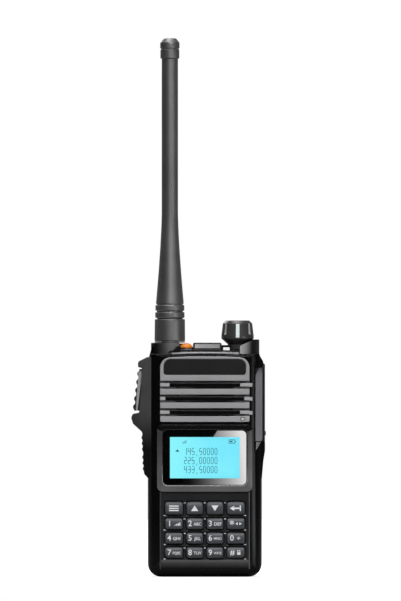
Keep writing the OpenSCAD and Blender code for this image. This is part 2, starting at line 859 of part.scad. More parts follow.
module top_cover() {
  color(dark)
  difference() {
    union() {
      intersection() {
        level(deck_z, cover_t)
          polygon(plate_points(-cover_half, guard_x - run_gap, cover_y0, cover_y1, 1.2));
        sideways(-side_x, body_w)
          polygon([[cover_y0, deck_z], [cover_y1, deck_z], [cover_y1, cover_top],
            [cover_y0 + 1, cover_top], [cover_y0, cover_top - 0.9]]);
      }
      // raised block beside the alarm button
      intersection() {
        upright(block_y0, block_d)
          polygon(rounded([
            [block_x0, cover_top - 0.5, 0], [block_x1, cover_top - 0.5, 0],
            [block_x1, cover_top + block_h, 0.8], [block_x0, cover_top + block_h, 0.8]
          ]));
        sideways(-side_x, body_w)
          polygon(rounded([
            [block_y0, cover_top - 0.5, 0], [block_y0 + block_d, cover_top - 0.5, 0],
            [block_y0 + block_d - 0.8, cover_top + block_h, 0.8],
            [block_y0 + 1, cover_top + block_h, 0.8]
          ]));
      }
      translate([-alarm_x, alarm_y, deck_z])
        cylinder(h = cover_t + alarm_ring_h, r = alarm_r - alarm_rim);
    }
    boss_form(seat_gap);
    translate([-alarm_x, alarm_y, deck_z - 1]) cylinder(h = cover_t + 4, r = alarm_stem_r + run_gap);
    translate([knob_x, control_y, deck_z - 1]) cylinder(h = cover_t + 2, r = bush_r + seat_gap);
    translate([led_x - led_w / 2 + 0.4, led_y0 + 0.4, deck_z + 0.8])
      cube([led_w - 0.8, led_d - 0.8, cover_t]);
  }
}

module status_led() {
  color(white)
  union() {
    upright(led_y0, led_d)
      polygon(rounded([
        [led_x - led_w / 2, cover_top, 0], [led_x + led_w / 2, cover_top, 0],
        [led_x + led_w / 2, cover_top + led_h, 0.5], [led_x - led_w / 2, cover_top + led_h, 0.5]
      ]));
    translate([led_x - led_w / 2 + 0.5, led_y0 + 0.5, deck_z + 0.8])
      cube([led_w - 1, led_d - 1, cover_t]);
  }
}

module alarm_button() {
  crown = 2.3;
  ball = (alarm_r * alarm_r + crown * crown) / (2 * crown);
  color(orange)
  translate([-alarm_x, alarm_y, 0])
  union() {
    intersection() {
      translate([0, 0, alarm_head_z + crown - ball]) sphere(r = ball);
      translate([0, 0, alarm_head_z]) cylinder(h = crown + 1, r = alarm_r + 1);
    }
    translate([0, 0, deck_z - wall_t + 0.4])
      cylinder(h = alarm_head_z - deck_z + wall_t, r = alarm_stem_r);
  }
}

module volume_pot() {
  color(steel)
  difference() {
    union() {
      translate([knob_x - pot_w / 2, control_y - pot_d / 2, deck_z - wall_t - pot_h])
        cube([pot_w, pot_d, pot_h]);
      translate([knob_x, control_y, deck_z - wall_t - 1])
        cylinder(h = wall_t + cover_t + 1.8, r = bush_r);
    }
    translate([knob_x, control_y, deck_z - wall_t - pot_h + 2])
      cylinder(h = pot_h + 10, r = shaft_r + shaft_gap);
  }
}

module pot_shaft() {
  z0 = deck_z - wall_t - pot_h + 2.3;
  color(steel) translate([knob_x, control_y, z0]) cylinder(h = knob_z1 - 4 - z0, r = shaft_r);
}

module volume_knob() {
  color(black)
  translate([knob_x, control_y, 0])
  difference() {
    rotate_extrude()
      polygon(rounded([
        [0, knob_z0, 0], [neck_r, knob_z0, 0.3], [neck_r, knob_z0 + neck_h, 1],
        [knob_r, knob_wide_z - 0.6, 0.6],
        [knob_r, knob_wide_z + 0.8, 1], [knob_top_r, knob_z1 - knob_bevel, 0.6],
        [knob_top_r - 1.5, knob_z1, 0.5], [0, knob_z1, 0]
      ]));
    translate([0, 0, knob_z0 - 1]) cylinder(h = 2.6, r = bush_r + run_gap);
    translate([0, 0, knob_z0 - 1]) cylinder(h = knob_h - 2.8, r = shaft_r + shaft_gap);
    for (flute = [1 : flutes - 1])
      rotate([0, 0, flute * 360 / flutes - 90]) translate([knob_r, 0, 0]) {
        translate([0, 0, knob_wide_z + 2.2]) cylinder(h = knob_h, r = flute_r);
        translate([0, 0, knob_wide_z + 2.2]) sphere(r = flute_r);
      }
  }
}

module antenna_socket() {
  z0 = deck_z - wall_t - 2.5;
  color(brass)
  translate([-antenna_x, control_y, 0])
  difference() {
    union() {
      translate([-4.5, -4, z0]) cube([9, 8, 2.5]);
      translate([0, 0, z0]) cylinder(h = socket_top - z0, r = socket_r);
    }
    translate([0, 0, socket_top - centre_l - run_gap]) cylinder(h = centre_l + 1, r = centre_hole_r);
  }
}

module antenna_seal() {
  color(black)
  translate([-antenna_x, control_y, boss_top + seat_gap])
  difference() {
    cylinder(h = seal_t, r = collar_r - 0.9);
    translate([0, 0, -1]) cylinder(h = seal_t + 2, r = plug_r + run_gap);
  }
}

module antenna_plug() {
  color(brass)
  translate([-antenna_x, control_y, 0])
  difference() {
    union() {
      difference() {
        translate([0, 0, plug_z0]) cylinder(h = collar_z0 + plug_in - plug_z0, r = plug_r);
        translate([0, 0, plug_z0 - 1]) cylinder(h = thread_l + 1 + run_gap, r = socket_r + shaft_gap);
      }
      translate([0, 0, socket_top - centre_l]) cylinder(h = centre_l + 1, r = centre_r);
    }
    translate([0, 0, collar_z0 + 2]) cylinder(h = 10, r = core_r + shaft_gap);
  }
}

module antenna_base() {
  color(dark)
  translate([-antenna_x, control_y, 0])
  difference() {
    rotate_extrude()
      polygon(rounded([
        [0, collar_z0, 0], [collar_r, collar_z0, 0.5], [collar_r - 0.1, collar_z1, 0.5],
        [0, collar_z1, 0]
      ]));
    translate([0, 0, collar_z0 - 1]) cylinder(h = plug_in + 1 + seat_gap, r = plug_r + shaft_gap);
    translate([0, 0, collar_z0]) cylinder(h = collar_h + 2, r = core_r + shaft_gap);
  }
}

module antenna_sheath() {
  steps = 12;
  ring_1 = collar_z1 + ring_gap;
  ring_2 = ring_1 + ring_h + ring_gap;
  color(dark)
  translate([-antenna_x, control_y, 0])
  difference() {
    rotate_extrude()
      polygon(concat(
        [[0, collar_z1], [groove_r, collar_z1], [groove_r, ring_1]],
        [[ring_r - 0.3, ring_1], [ring_r, ring_1 + 0.4], [ring_r, ring_1 + ring_h - 0.4],
        [ring_r - 0.3, ring_1 + ring_h]],
        [[groove_r, ring_1 + ring_h], [groove_r, ring_2]],
        [[ring_r - 0.4, ring_2], [ring_r - 0.1, ring_2 + 0.4], [ring_r - 0.1, ring_2 + ring_h - 0.4],
        [ring_r - 0.4, ring_2 + ring_h]],
        [[groove_r, ring_2 + ring_h], [groove_r, foot_z]],
        [for (k = [0 : steps]) [whip_r + (foot_r - whip_r) * pow(1 - k / steps, 1.45),
        foot_z + taper_l * k / steps]],
        [[whip_r, cap_z], [0, cap_z]]
      ));
    translate([0, 0, collar_z1 - 1]) cylinder(h = cap_z - collar_z1 + 2, r = core_r + shaft_gap);
  }
}

module antenna_core() {
  z0 = collar_z0 + 2.2;
  color(steel) translate([-antenna_x, control_y, z0]) cylinder(h = cap_z + cap_h / 3 - z0, r = core_r);
}

module antenna_cap() {
  waist = cap_z + cap_h * 0.47;
  color(dark)
  translate([-antenna_x, control_y, 0])
  difference() {
    rotate_extrude()
      polygon(rounded([
        [0, cap_z, 0], [cap_r - 0.1, cap_z, 0.4], [cap_r - 0.1, waist - 0.4, 0.3],
        [cap_r - 0.55, waist, 0.2],
        [cap_r, waist + 0.5, 0.3], [cap_r, antenna_z1 - 2.2, 1.5], [cap_r - 1.7, antenna_z1, 1.2],
        [0, antenna_z1, 0]
      ]));
    translate([0, 0, cap_z - 1]) cylinder(h = cap_h / 3 + 1.2, r = core_r + shaft_gap);
  }
}

// A corner of the side frame, out from the side and down from the deck
function left(out, down, r) = [-side_x - out, deck_z - down, r];
lever_line_top = [2.7, 7.2];
lever_line_foot = [4.4, 29.5];
function lever_line(down) = lever_line_top[0]
  + (lever_line_foot[0] - lever_line_top[0]) * (down - lever_line_top[1]) / (lever_line_foot[1]
    - lever_line_top[1]);
function ridge_out(down) = ridge_out_top
  + (ridge_out_foot - ridge_out_top) * (down - lever_top) / (lever_foot - lever_top);
strip_top = [2.8, 39.1];
strip_foot = [1.9, 59.9];
function strip_out(down) = strip_top[0]
  + (strip_foot[0] - strip_top[0]) * (down - strip_top[1]) / (strip_foot[1] - strip_top[1]);
frame_outline = [
  [-wall_t, frame_top, 0], [0.4, frame_top, 0.8], [4.9, 3.9, 1.2], [4.9, 6.6, 0.6],
  [lever_line_top[0], lever_line_top[1], 0], [lever_line_foot[0], lever_line_foot[1], 0],
  [7.7, 30.1, 1], [8.35, 32.1, 1.2], [7.4, 35, 1.5],
  [strip_top[0], strip_top[1], 2], [strip_foot[0], strip_foot[1], 1.5],
  [-0.2, frame_foot, 0.8], [-wall_t, frame_foot, 0]
];

module side_frame() {
  color(mid_grey)
  difference() {
    intersection() {
      upright(frame_y0, frame_d)
        polygon(rounded([
          for (c = frame_outline) left(c[0], c[1], c[2])
        ]));
      level(0, deck_z)
        polygon([
          [-frame_in, frame_y1], [-frame_in, frame_y0], [-side_x + 1.3, frame_y0],
          [-side_x - 5, frame_y0 + 2.2], [-side_x - 9, frame_y0 + 5], [-side_x - 9, frame_y1]
        ]);
    }
    // pocket of the talk lever
    upright(lever_y0 - run_gap, lever_d + 2 * run_gap)
      polygon([
        spot(left(lever_line(lever_top) - pocket_deep, pocket_top, 0)),
        spot(left(lever_line(pocket_foot) - pocket_deep, pocket_foot, 0)),
        spot(left(side_x, pocket_foot, 0)), spot(left(side_x, pocket_top, 0))
      ]);
    // slot of the lever's tongue, and its pin
    translate([-side_x - pin_out - tongue_r - 0.4, lever_mid - tongue_d / 2 - run_gap,
      deck_z - lever_top])
      cube([2 * tongue_r + 0.8, tongue_d + 2 * run_gap, lever_top - pin_down + tongue_r + run_gap]);
    translate([-side_x - pin_out, 0, deck_z - pin_down])
      bar_y(lever_mid - pin_l / 2 - seat_gap, pin_l + 2 * seat_gap, pin_r + shaft_gap);
    translate([0, lever_mid, deck_z - plunger_down])
      bar_x(-side_x - 6, 6 + wall_t + 1, plunger_r + run_gap + 0.2);
    for (down = [upper_key_down, lower_key_down]) side_key_space(down);
  }
}

// Opening of a side key in the side frame
module side_key_space(down) {
  z0 = deck_z - down - side_key_h;
  translate([-side_x - 6, key_y0 - run_gap, z0 - run_gap])
    cube([6 + wall_t + 1, side_key_d + 2 * run_gap, side_key_h + 2 * run_gap]);
  translate([-side_x - side_wall_in, key_y0 - side_flange - run_gap, z0 - run_gap])
    cube([wall_t + side_wall_in + 1, side_key_d + 2 * (side_flange + run_gap),
      side_key_h + 2 * run_gap]);
}

module side_key(down) {
  z0 = deck_z - down - side_key_h;
  bumps = 3;
  color(dark)
  union() {
    upright(key_y0, side_key_d) {
      polygon([
        spot(left(-0.5, down, 0)), spot(left(strip_out(down) + side_key_proud, down, 0)),
        spot(left(strip_out(down + side_key_h) + side_key_proud, down + side_key_h, 0)),
        spot(left(-0.5, down + side_key_h, 0))
      ]);
      for (bump = [0 : bumps - 1])
        let (at = down + side_key_h * (bump + 0.5) / bumps)
          translate([-side_x - strip_out(at) - side_key_proud + 0.6, deck_z - at]) circle(r = 1);
    }
    translate([-side_x + run_gap - side_wall_in, key_y0 - side_flange, z0])
      cube([side_flange_t, side_key_d + 2 * side_flange, side_key_h]);
  }
}

module ptt_lever() {
  foot = lever_line(lever_foot);
  first = lever_top + ridge_r + 0.7;
  step = (lever_foot - ridge_r - 0.1 - first) / (ptt_ridges - 1);
  color(mid_grey)
  difference() {
    union() {
      upright(lever_y0, lever_d) {
        polygon([
          spot(left(lever_line(lever_top) - lever_sink, lever_top, 0)),
          spot(left(foot - lever_sink, lever_foot, 0)),
          spot(left(ridge_out(lever_foot) - ridge_h, lever_foot, 0)),
          spot(left(ridge_out(lever_top) - ridge_h, lever_top, 0))
        ]);
      }
      for (ridge = [0 : ptt_ridges - 1])
        let (down = first + ridge * step)
          translate([-side_x - ridge_out(down) + ridge_r, 0, deck_z - down])
            bar_y(lever_y0, lever_d, ridge_r);
      // tongue round the pin
      upright(lever_mid - tongue_d / 2, tongue_d) {
        translate([-side_x - pin_out, deck_z - pin_down]) circle(r = tongue_r);
        polygon([
          spot(left(pin_out - tongue_w, pin_down, 0)), spot(left(pin_out + tongue_w, pin_down, 0)),
          spot(left(pin_out + tongue_w, tongue_foot, 0)), spot(left(pin_out + tongue_toe, tongue_foot, 0))
        ]);
      }
      translate([0, lever_mid, deck_z - plunger_down])
        bar_x(-side_x - lever_line(plunger_down) - 1, lever_line(plunger_down) + 1 + plunger_tip,
          plunger_r);
    }
    translate([-side_x - pin_out, 0, deck_z - pin_down]) bar_y(lever_y0, lever_d, pin_r + shaft_gap);
  }
}

module ptt_pin() {
  color(steel) translate([-side_x - pin_out, 0, deck_z - pin_down])
    bar_y(lever_mid - pin_l / 2, pin_l, pin_r);
}

module side_switches() {
  dome_z = deck_z - plunger_down;
  color(green)
  union() {
    translate([-frame_in, lever_y0, deck_z - switch_foot])
      cube([switch_t, lever_d, switch_foot - switch_top]);
    translate([0, lever_mid, dome_z]) bar_x(-frame_in - dome_h, dome_h + switch_t / 2, plunger_r);
    for (down = [upper_key_down, lower_key_down])
      translate([0, key_y0 + side_key_d / 2, deck_z - down - side_key_h / 2])
        bar_x(-frame_in - side_dome_h, side_dome_h + switch_t / 2, side_dome_r);
  }
}

module jack_block() {
  x1 = side_x - flap_in - run_gap;
  x0 = x1 - jack_l - jack_floor;
  color(dark)
  difference() {
    union() {
      translate([x0, board_back, jack_z - jack_h / 2])
        cube([side_x - wall_t - x0, y_part - board_back, jack_h]);
      translate([x0, board_back, jack_z - jack_h / 2]) cube([x1 - x0, jack_d, jack_h]);
    }
    translate([0, jack_y, jack_z + jack_span / 2]) bar_x(x1 - jack_l, jack_l + 1, ear_jack_r);
    translate([0, jack_y, jack_z - jack_span / 2]) bar_x(x1 - jack_l, jack_l + 1, mic_jack_r);
  }
}

module jack_cover() {
  lip_z = flap_z0 + 3;
  color(dark)
  union() {
    flap_form(0);
    flap_wing(0);
    translate([side_x + flap_out - 0.6, flap_y0 + 1, lip_z]) cube([1.05, flap_y1 - flap_y0 - 2, 2]);
  }
}

module rear_chassis() {
  top = deck_z - run_gap;
  color(black)
  difference() {
    union() {
      upright(y_part, chassis_t)
        polygon(rounded([
          [-side_x, 0, base_r], [side_x, 0, base_r], [side_x, shoulder_z, shoulder_r],
          [side_x - deck_in, top, 0],
          [-side_x + deck_in, top, 0], [-side_x, shoulder_z, shoulder_r]
        ]));
      // upper block above the battery
      intersection() {
        sideways(-block_w / 2, block_w)
          polygon(rounded([
            [y_back - 1, hinge_z + 1.9, 0], [y_back + 4.5, hinge_z + 1.9, 0],
            [y_back + block_t, hinge_z + 6.4, 1.5],
            [y_back + block_t, top - 4, 3], [y_back + block_t - 3, top, 2], [y_back - 1, top, 0]
          ]));
        upright(y_part, block_t + chassis_t + 1)
          polygon(plate_points(-block_w / 2, block_w / 2, hinge_z, top, 3));
      }
      // ears that hold the top of the battery
      for (side = [-1, 1])
        translate([side * hinge_x - hinge_l / 2 - 0.5, y_back - 1, hinge_z])
          cube([hinge_l + 1, 5.4, 3]);
      // posts behind the main board
      for (side = [-1, 1])
        for (z = boss_z)
          translate([side * boss_x, 0, z]) bar_y(board_back, y_part - board_back + 1, 2);
    }
    translate([0, hinge_y, hinge_z]) bar_x(-side_x, body_w, hinge_r + shaft_gap);
    for (groove = [0 : 2])
      translate([-block_w / 2 + 5, y_back + block_t - 1.2, hinge_z + 9.4 + groove * 3])
        cube([block_w - 10, 4, 1.3]);
    posts() {
      bar_y(y_part - 1, chassis_t + 2, screw_r + seat_gap);
      bar_y(y_back - head_sink, 3, screw_head_r + seat_gap);
    }
    for (i = [-1 : 1])
      translate([i * contact_pitch, 0, contact_z])
        bar_y(y_part - 1, chassis_t + 2, contact_r + shaft_gap);
  }
}

module chassis_screws() {
  y_head = y_back - head_sink;
  color(steel)
  posts()
  difference() {
    union() {
      bar_y(y_part - screw_l, screw_l + y_head + screw_head_t / 2 - y_part, screw_r);
      bar_y(y_head, screw_head_t, screw_head_r);
    }
    translate([-screw_head_r, y_head + screw_head_t - slot_deep, -screw_slot / 2])
      cube([2 * screw_head_r, 1, screw_slot]);
    translate([-screw_slot / 2, y_head + screw_head_t - slot_deep, -screw_head_r])
      cube([screw_slot, 1, 2 * screw_head_r]);
  }
}

module supply_contacts() {
  color(brass)
  for (i = [-1 : 1])
    translate([i * contact_pitch, 0, contact_z]) bar_y(y_part + 0.4, chassis_t, contact_r);
}

// Springy hook that holds the foot of the battery
module battery_hook() {
  color(dark)
  union() {
    translate([-hook_w / 2, y_back, hook_z]) cube([hook_w, hook_l, hook_t]);
    translate([-hook_w / 2, y_back + hook_l - 1.5, hook_z]) cube([hook_w, 1.5, hook_t + hook_tooth]);
  }
}
module hook_space() {
  translate([-hook_w / 2 - run_gap, y_back - 1, -1])
    cube([hook_w + 2 * run_gap, hook_l + 1 + run_gap, 1 + hook_z + hook_t + run_gap]);
  translate([-hook_w / 2 - run_gap, y_back + hook_l - 1.5 - run_gap, -1])
    cube([hook_w + 2 * run_gap, 1.5 + 2 * run_gap, 1 + hook_z + hook_t + hook_tooth + run_gap]);
}

// Form of the battery behind y0, drawn in from its sides
module pack_form(y0, inset) {
  half = pack_w / 2 - inset;
  intersection() {
    upright(y0, y_rear - inset - y0)
      polygon(rounded([
        [-half, inset, base_r - 1 - inset / 2], [half, inset, base_r - 1 - inset / 2],
        [half, pack_h - inset, 3], [-half, pack_h - inset, 3]
      ]));
    level(0, pack_h)
      polygon(rounded([[-half, y0, 0], [half, y0, 0], [half, y_rear - inset, 4.5 - inset],
        [-half, y_rear - inset, 4.5 - inset]]));
    sideways(-half, 2 * half)
      polygon(rounded([[y0, inset, 0], [y_rear - inset, inset, 3],
        [y_rear - inset, pack_h - inset, 5 - inset], [y0, pack_h - inset, 0]]));
  }
}

module battery_case() {
  half = pack_w / 2;
  color(dark)
  difference() {
    union() {
      upright(y_pack, plate_t)
        polygon(rounded([[-half, 0, base_r - 1], [half, 0, base_r - 1], [half, pack_h, 3],
          [-half, pack_h, 3]]));
      for (side = [-1, 1]) {
        translate([side * hinge_x, hinge_y, hinge_z]) bar_x(-hinge_l / 2, hinge_l, hinge_r);
        translate([side * hinge_x - hinge_l / 2, y_pack + 0.4, pack_h - 2])
          cube([hinge_l, plate_t - 0.4, hinge_z - pack_h + 1.4]);
      }
    }
    hook_space();
    for (i = [-1 : 1])
      translate([i * contact_pitch, 0, contact_z]) bar_y(y_pack - 1, 1.8, contact_r + 0.6);
  }
}

module battery_cover() {
  ribs = 6;
  color(black)
  difference() {
    pack_form(y_plate, 0);
    intersection() {
      pack_form(y_plate - 1, pack_wall);
      translate([-side_x, y_plate - 1, pack_foot]) cube([body_w, pack_d + 2, pack_h]);
    }
    hook_space();
    // grip grooves
    for (rib = [0 : ribs - 1])
      for (side = [-1, 1])
        translate([side * (pack_w / 2 - 9) - 6, y_rear - 0.5, 20 + rib * 3.4]) cube([12, 2, 1.4]);
    for (side = [-1, 1]) {
      translate([side * pad_x, 0, pad_z]) bar_y(y_rear - pad_t, pad_t + 1, pad_r + seat_gap);
      translate([side * clip_screw_x, 0, clip_z - clip_screw_down])
        bar_y(y_rear - pack_wall - 1, pack_wall + 2, screw_r + shaft_gap);
    }
  }
}

module battery_cells() {
  cell_w = pack_w / 2 - pack_wall - 1.5;
  cell_d = y_rear - pack_wall - 0.4 - y_plate;
  color(light_grey)
  for (side = [-1, 1])
    translate([side * (cell_w / 2 + 0.3) - cell_w / 2, y_plate, pack_foot + 1])
      cube([cell_w, cell_d - 0.4, pack_h - pack_foot - 8]);
}

module battery_contacts() {
  color(brass)
  for (side = [-1, 1])
    translate([side * pad_x, 0, pad_z]) bar_y(y_rear - pad_t, pad_t - 0.1, pad_r);
}

module clip_bracket() {
  foot = clip_z - bracket_down;
  color(dark)
  difference() {
    union() {
      upright(y_rear, bracket_t)
        polygon(plate_points(-bracket_w / 2, bracket_w / 2, foot, clip_z + bracket_up, 2));
      for (side = [-1, 1])
        sideways(side * (ear_x + ear_t / 2) - ear_t / 2, ear_t) {
          translate([clip_y, clip_z]) circle(r = hub_r);
          translate([y_rear + 0.5, clip_z - hub_r]) square([clip_y - y_rear - 0.5, 2 * hub_r]);
        }
    }
    translate([0, clip_y, clip_z]) bar_x(-side_x, body_w, clip_pin_r + shaft_gap);
    for (side = [-1, 1])
      translate([side * clip_screw_x, 0, clip_z - clip_screw_down])
        bar_y(y_rear - 1, bracket_t + 2, screw_r + shaft_gap);
  }
}

module clip_screws() {
  y_head = y_rear + bracket_t;
  color(steel)
  for (side = [-1, 1])
    translate([side * clip_screw_x, 0, clip_z - clip_screw_down])
    difference() {
      union() {
        bar_y(y_rear - pack_wall, pack_wall + bracket_t + 0.5, screw_r);
        bar_y(y_head, screw_head_t, screw_head_r);
      }
      translate([-screw_head_r, y_head + screw_head_t - slot_deep, -screw_slot / 2])
        cube([2 * screw_head_r, 1, screw_slot]);
    }
}

module clip_pin() {
  color(steel) translate([0, clip_y, clip_z]) bar_x(-ear_x - ear_t, 2 * (ear_x + ear_t), clip_pin_r);
}

// Points of the clip spring: a coil round the pin with two straight legs
spring_half = spring_turns * spring_pitch / 2;
function coil_point(k) =
  let (a = 360 * k / spring_steps)
  [-spring_half + spring_pitch * k / spring_steps, -spring_r * cos(a), spring_r * sin(a)];
spring_path = concat(
  [[-spring_half, -spring_r, -spring_leg]],
  [for (k = [0 : spring_turns * spring_steps]) coil_point(k)],
  [[spring_half, -spring_r, 2]]
);
function tangent(path, i) = unit(path[min(i + 1, len(path) - 1)] - path[max(i - 1, 0)]);
function side_dir(t) = unit([1, 0, 0] - t * t[0]);
function ring_point(path, i, j) =
  let (t = tangent(path, i), u = side_dir(t), v = cross(t, u), a = 360 * j / wire_sides)
  path[i] + wire_r * (u * cos(a) + v * sin(a));
spring_gap = min([
  for (i = [0 : spring_steps : spring_turns * spring_steps - spring_steps])
    for (j = [i + spring_steps - 4 : i + spring_steps + 4])
      if (j <= spring_turns * spring_steps) norm(coil_point(i) - coil_point(j)) - 2 * wire_r
]);
echo(spring_gap = spring_gap);

module clip_spring() {
  n = len(spring_path);
  m = wire_sides;
  color(steel)
  translate([0, clip_y, clip_z])
    polyhedron(
      points = [for (i = [0 : n - 1]) for (j = [0 : m - 1]) ring_point(spring_path, i, j)],
      faces = concat(
        [[for (j = [0 : m - 1]) j]],
        [for (i = [0 : n - 2]) for (j = [0 : m - 1]) [i * m + j, (i + 1) * m + j,
        (i + 1) * m + (j + 1) % m]],
        [for (i = [0 : n - 2]) for (j = [0 : m - 1]) [i * m + j, (i + 1) * m + (j + 1) % m,
        i * m + (j + 1) % m]],
        [[for (j = [0 : m - 1]) (n - 1) * m + m - 1 - j]]
      ),
      convexity = 8
    );
}

module belt_clip() {
  top = clip_z + pad_l;
  foot = top - clip_l;
  outer = clip_inner + clip_t;
  color(black)
  difference() {
    union() {
      difference() {
        sideways(-clip_w / 2, clip_w)
          polygon(rounded([
            [clip_inner, top, 1], [outer, top, 1], [outer + 0.3, clip_z, 2], [outer, foot + 11, 8],
            [outer - 1.2, foot + 5, 4],
            [y_rear + 3.2, foot, 1.2], [y_rear + 1.2, foot, 0.8], [y_rear + 0.5, foot + 1.5, 0.4],
            [clip_inner - 0.8, foot + 6.4, 3], [clip_inner, foot + 12, 4]
          ]));
        // window round the spring
        translate([-spring_slot / 2, y_rear, clip_z - spring_leg - 2])
          cube([spring_slot, clip_y - y_rear + 2 * hub_r, spring_leg + 6]);
      }
      for (side = [-1, 1])
        translate([side * (clip_w + spring_slot) / 4, clip_y, clip_z])
          bar_x(-(clip_w - spring_slot) / 4, (clip_w - spring_slot) / 2, hub_r);
    }
    translate([0, clip_y, clip_z]) bar_x(-side_x, body_w, clip_pin_r + shaft_gap);
  }
}

front_housing();
grille_panel();
badge_plate();
lcd_bezel();
lcd_lens();
lcd_module();
keypad_mat();
main_board();
speaker();
microphone();
top_cover();
status_led();
volume_pot();
antenna_socket();
side_frame();
side_switches();
jack_block();
rear_chassis();
chassis_screws();
supply_contacts();
battery_hook();
ptt_pin();
ptt_lever();
side_key(upper_key_down);  // side_key_upper
side_key(lower_key_down);  // side_key_lower
alarm_button();
volume_knob();
pot_shaft();
jack_cover();
antenna_seal();
antenna_base();
antenna_plug();
antenna_sheath();
antenna_core();
antenna_cap();
battery_case();
battery_cover();
battery_cells();
battery_contacts();
clip_bracket();
clip_screws();
clip_pin();
clip_spring();
belt_clip();
for (i = [0 : len(KEY_NAMES) - 1])
  key(i % columns, floor(i / columns));
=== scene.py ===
"""Handheld radio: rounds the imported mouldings, gives them their finishes and sets a plain studio."""

import json
import math

import bpy
from bpy.props import FloatProperty, FloatVectorProperty, PointerProperty
from mathutils import Matrix, Vector

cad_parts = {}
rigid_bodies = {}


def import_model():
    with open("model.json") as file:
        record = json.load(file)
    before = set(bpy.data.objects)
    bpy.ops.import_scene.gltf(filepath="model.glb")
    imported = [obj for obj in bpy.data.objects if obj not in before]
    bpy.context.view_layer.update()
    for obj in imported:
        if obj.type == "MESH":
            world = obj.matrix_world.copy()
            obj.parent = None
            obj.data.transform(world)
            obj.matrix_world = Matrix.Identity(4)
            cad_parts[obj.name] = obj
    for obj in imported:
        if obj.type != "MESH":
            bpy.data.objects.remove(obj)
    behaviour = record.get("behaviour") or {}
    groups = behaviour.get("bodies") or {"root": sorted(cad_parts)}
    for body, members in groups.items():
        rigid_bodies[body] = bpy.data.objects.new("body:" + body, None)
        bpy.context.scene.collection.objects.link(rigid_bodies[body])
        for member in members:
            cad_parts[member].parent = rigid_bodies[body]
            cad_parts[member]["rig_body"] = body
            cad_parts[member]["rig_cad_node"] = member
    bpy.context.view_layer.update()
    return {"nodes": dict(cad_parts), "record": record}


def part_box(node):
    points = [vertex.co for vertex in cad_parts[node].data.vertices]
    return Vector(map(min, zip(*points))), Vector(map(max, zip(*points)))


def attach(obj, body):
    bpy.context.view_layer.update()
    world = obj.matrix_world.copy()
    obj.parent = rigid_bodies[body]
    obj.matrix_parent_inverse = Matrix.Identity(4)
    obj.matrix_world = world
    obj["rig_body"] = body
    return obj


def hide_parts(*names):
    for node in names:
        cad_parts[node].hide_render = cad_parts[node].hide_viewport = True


bl_info = {
    "name": "Handheld Radio",
    "version": (1, 0, 0),
    "blender": (4, 5, 0),
    "location": "3D View > Sidebar > Radio",
    "description": "Mouldings, finishes, key legends and display of a handheld radio",
    "category": "Object",
}

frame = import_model()
MM = 0.001
QUARTER_TURN = math.pi / 2
UPRIGHT = (QUARTER_TURN, 0, 0)
BODY_OF = {node: body for body, nodes in frame["record"]["behaviour"]["bodies"].items() for node in nodes}
KEYS_IN_ROW = 4
KEYS = [
    "key_menu", "key_up", "key_down", "key_exit", "key_1", "key_2", "key_3", "key_star",
    "key_4", "key_5", "key_6", "key_0", "key_7", "key_8", "key_9", "key_hash",
]
# Lines that bound the pale leaf on the right side, a painted highlight, each through two places (x, z) in
# millimetres
HIGHLIGHT_LEAF_RIGHT = ((28.75, 50), (28.75, 120))
HIGHLIGHT_LEAF_FOOT = ((25.85, 63.75), (29.1, 69.5))


# Properties

def tint(name, text, *rgb):
    """A colour that the panel shows."""
    return FloatVectorProperty(name=name, description=text, default=rgb, subtype="COLOR", size=3,
                               min=0, max=1)


def length(name, text, mm):
    """A length that the panel shows, given in millimetres."""
    return FloatProperty(name=name, description=text, default=mm * MM, min=0, unit="LENGTH", precision=4)


def power(name, text, watts):
    """The power of a lamp that the panel shows."""
    return FloatProperty(name=name, description=text, default=watts, min=0, unit="POWER")


class RadioSizes(bpy.types.PropertyGroup):
    """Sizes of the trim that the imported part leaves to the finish."""

    edge: length("Edge round", "Rounding on the edges of the large mouldings", 0.3)
    fine_edge: length("Fine edge round", "Rounding on the edges of small pieces", 0.15)
    bezel_edge: length("Bezel slope", "Fall of the display frame's rim towards its outer edge", 0.9)
    key_edge: length("Key round", "Rounding on the front edge of the keys", 0.5)
    key_crown: length("Key crown", "Fall of the front of a key towards its upper and lower edge", 0.75)
    lip_bow: length("Lip bow", "Fall of the deck lip towards its ends", 0.5)
    print_t: length("Print thickness", "Thickness of the printed legends", 0.3)
    digit_h: length("Digit size", "Type size of the digits on the keys", 3.9)
    letter_h: length("Letter size", "Type size of the letters beside the digits", 2.25)
    stripe_w: length("Stripe width", "Width of the index stripe on the knob", 1.75)
    ring_w: length("Ring width", "Width of the ring round the alarm button", 0.5)


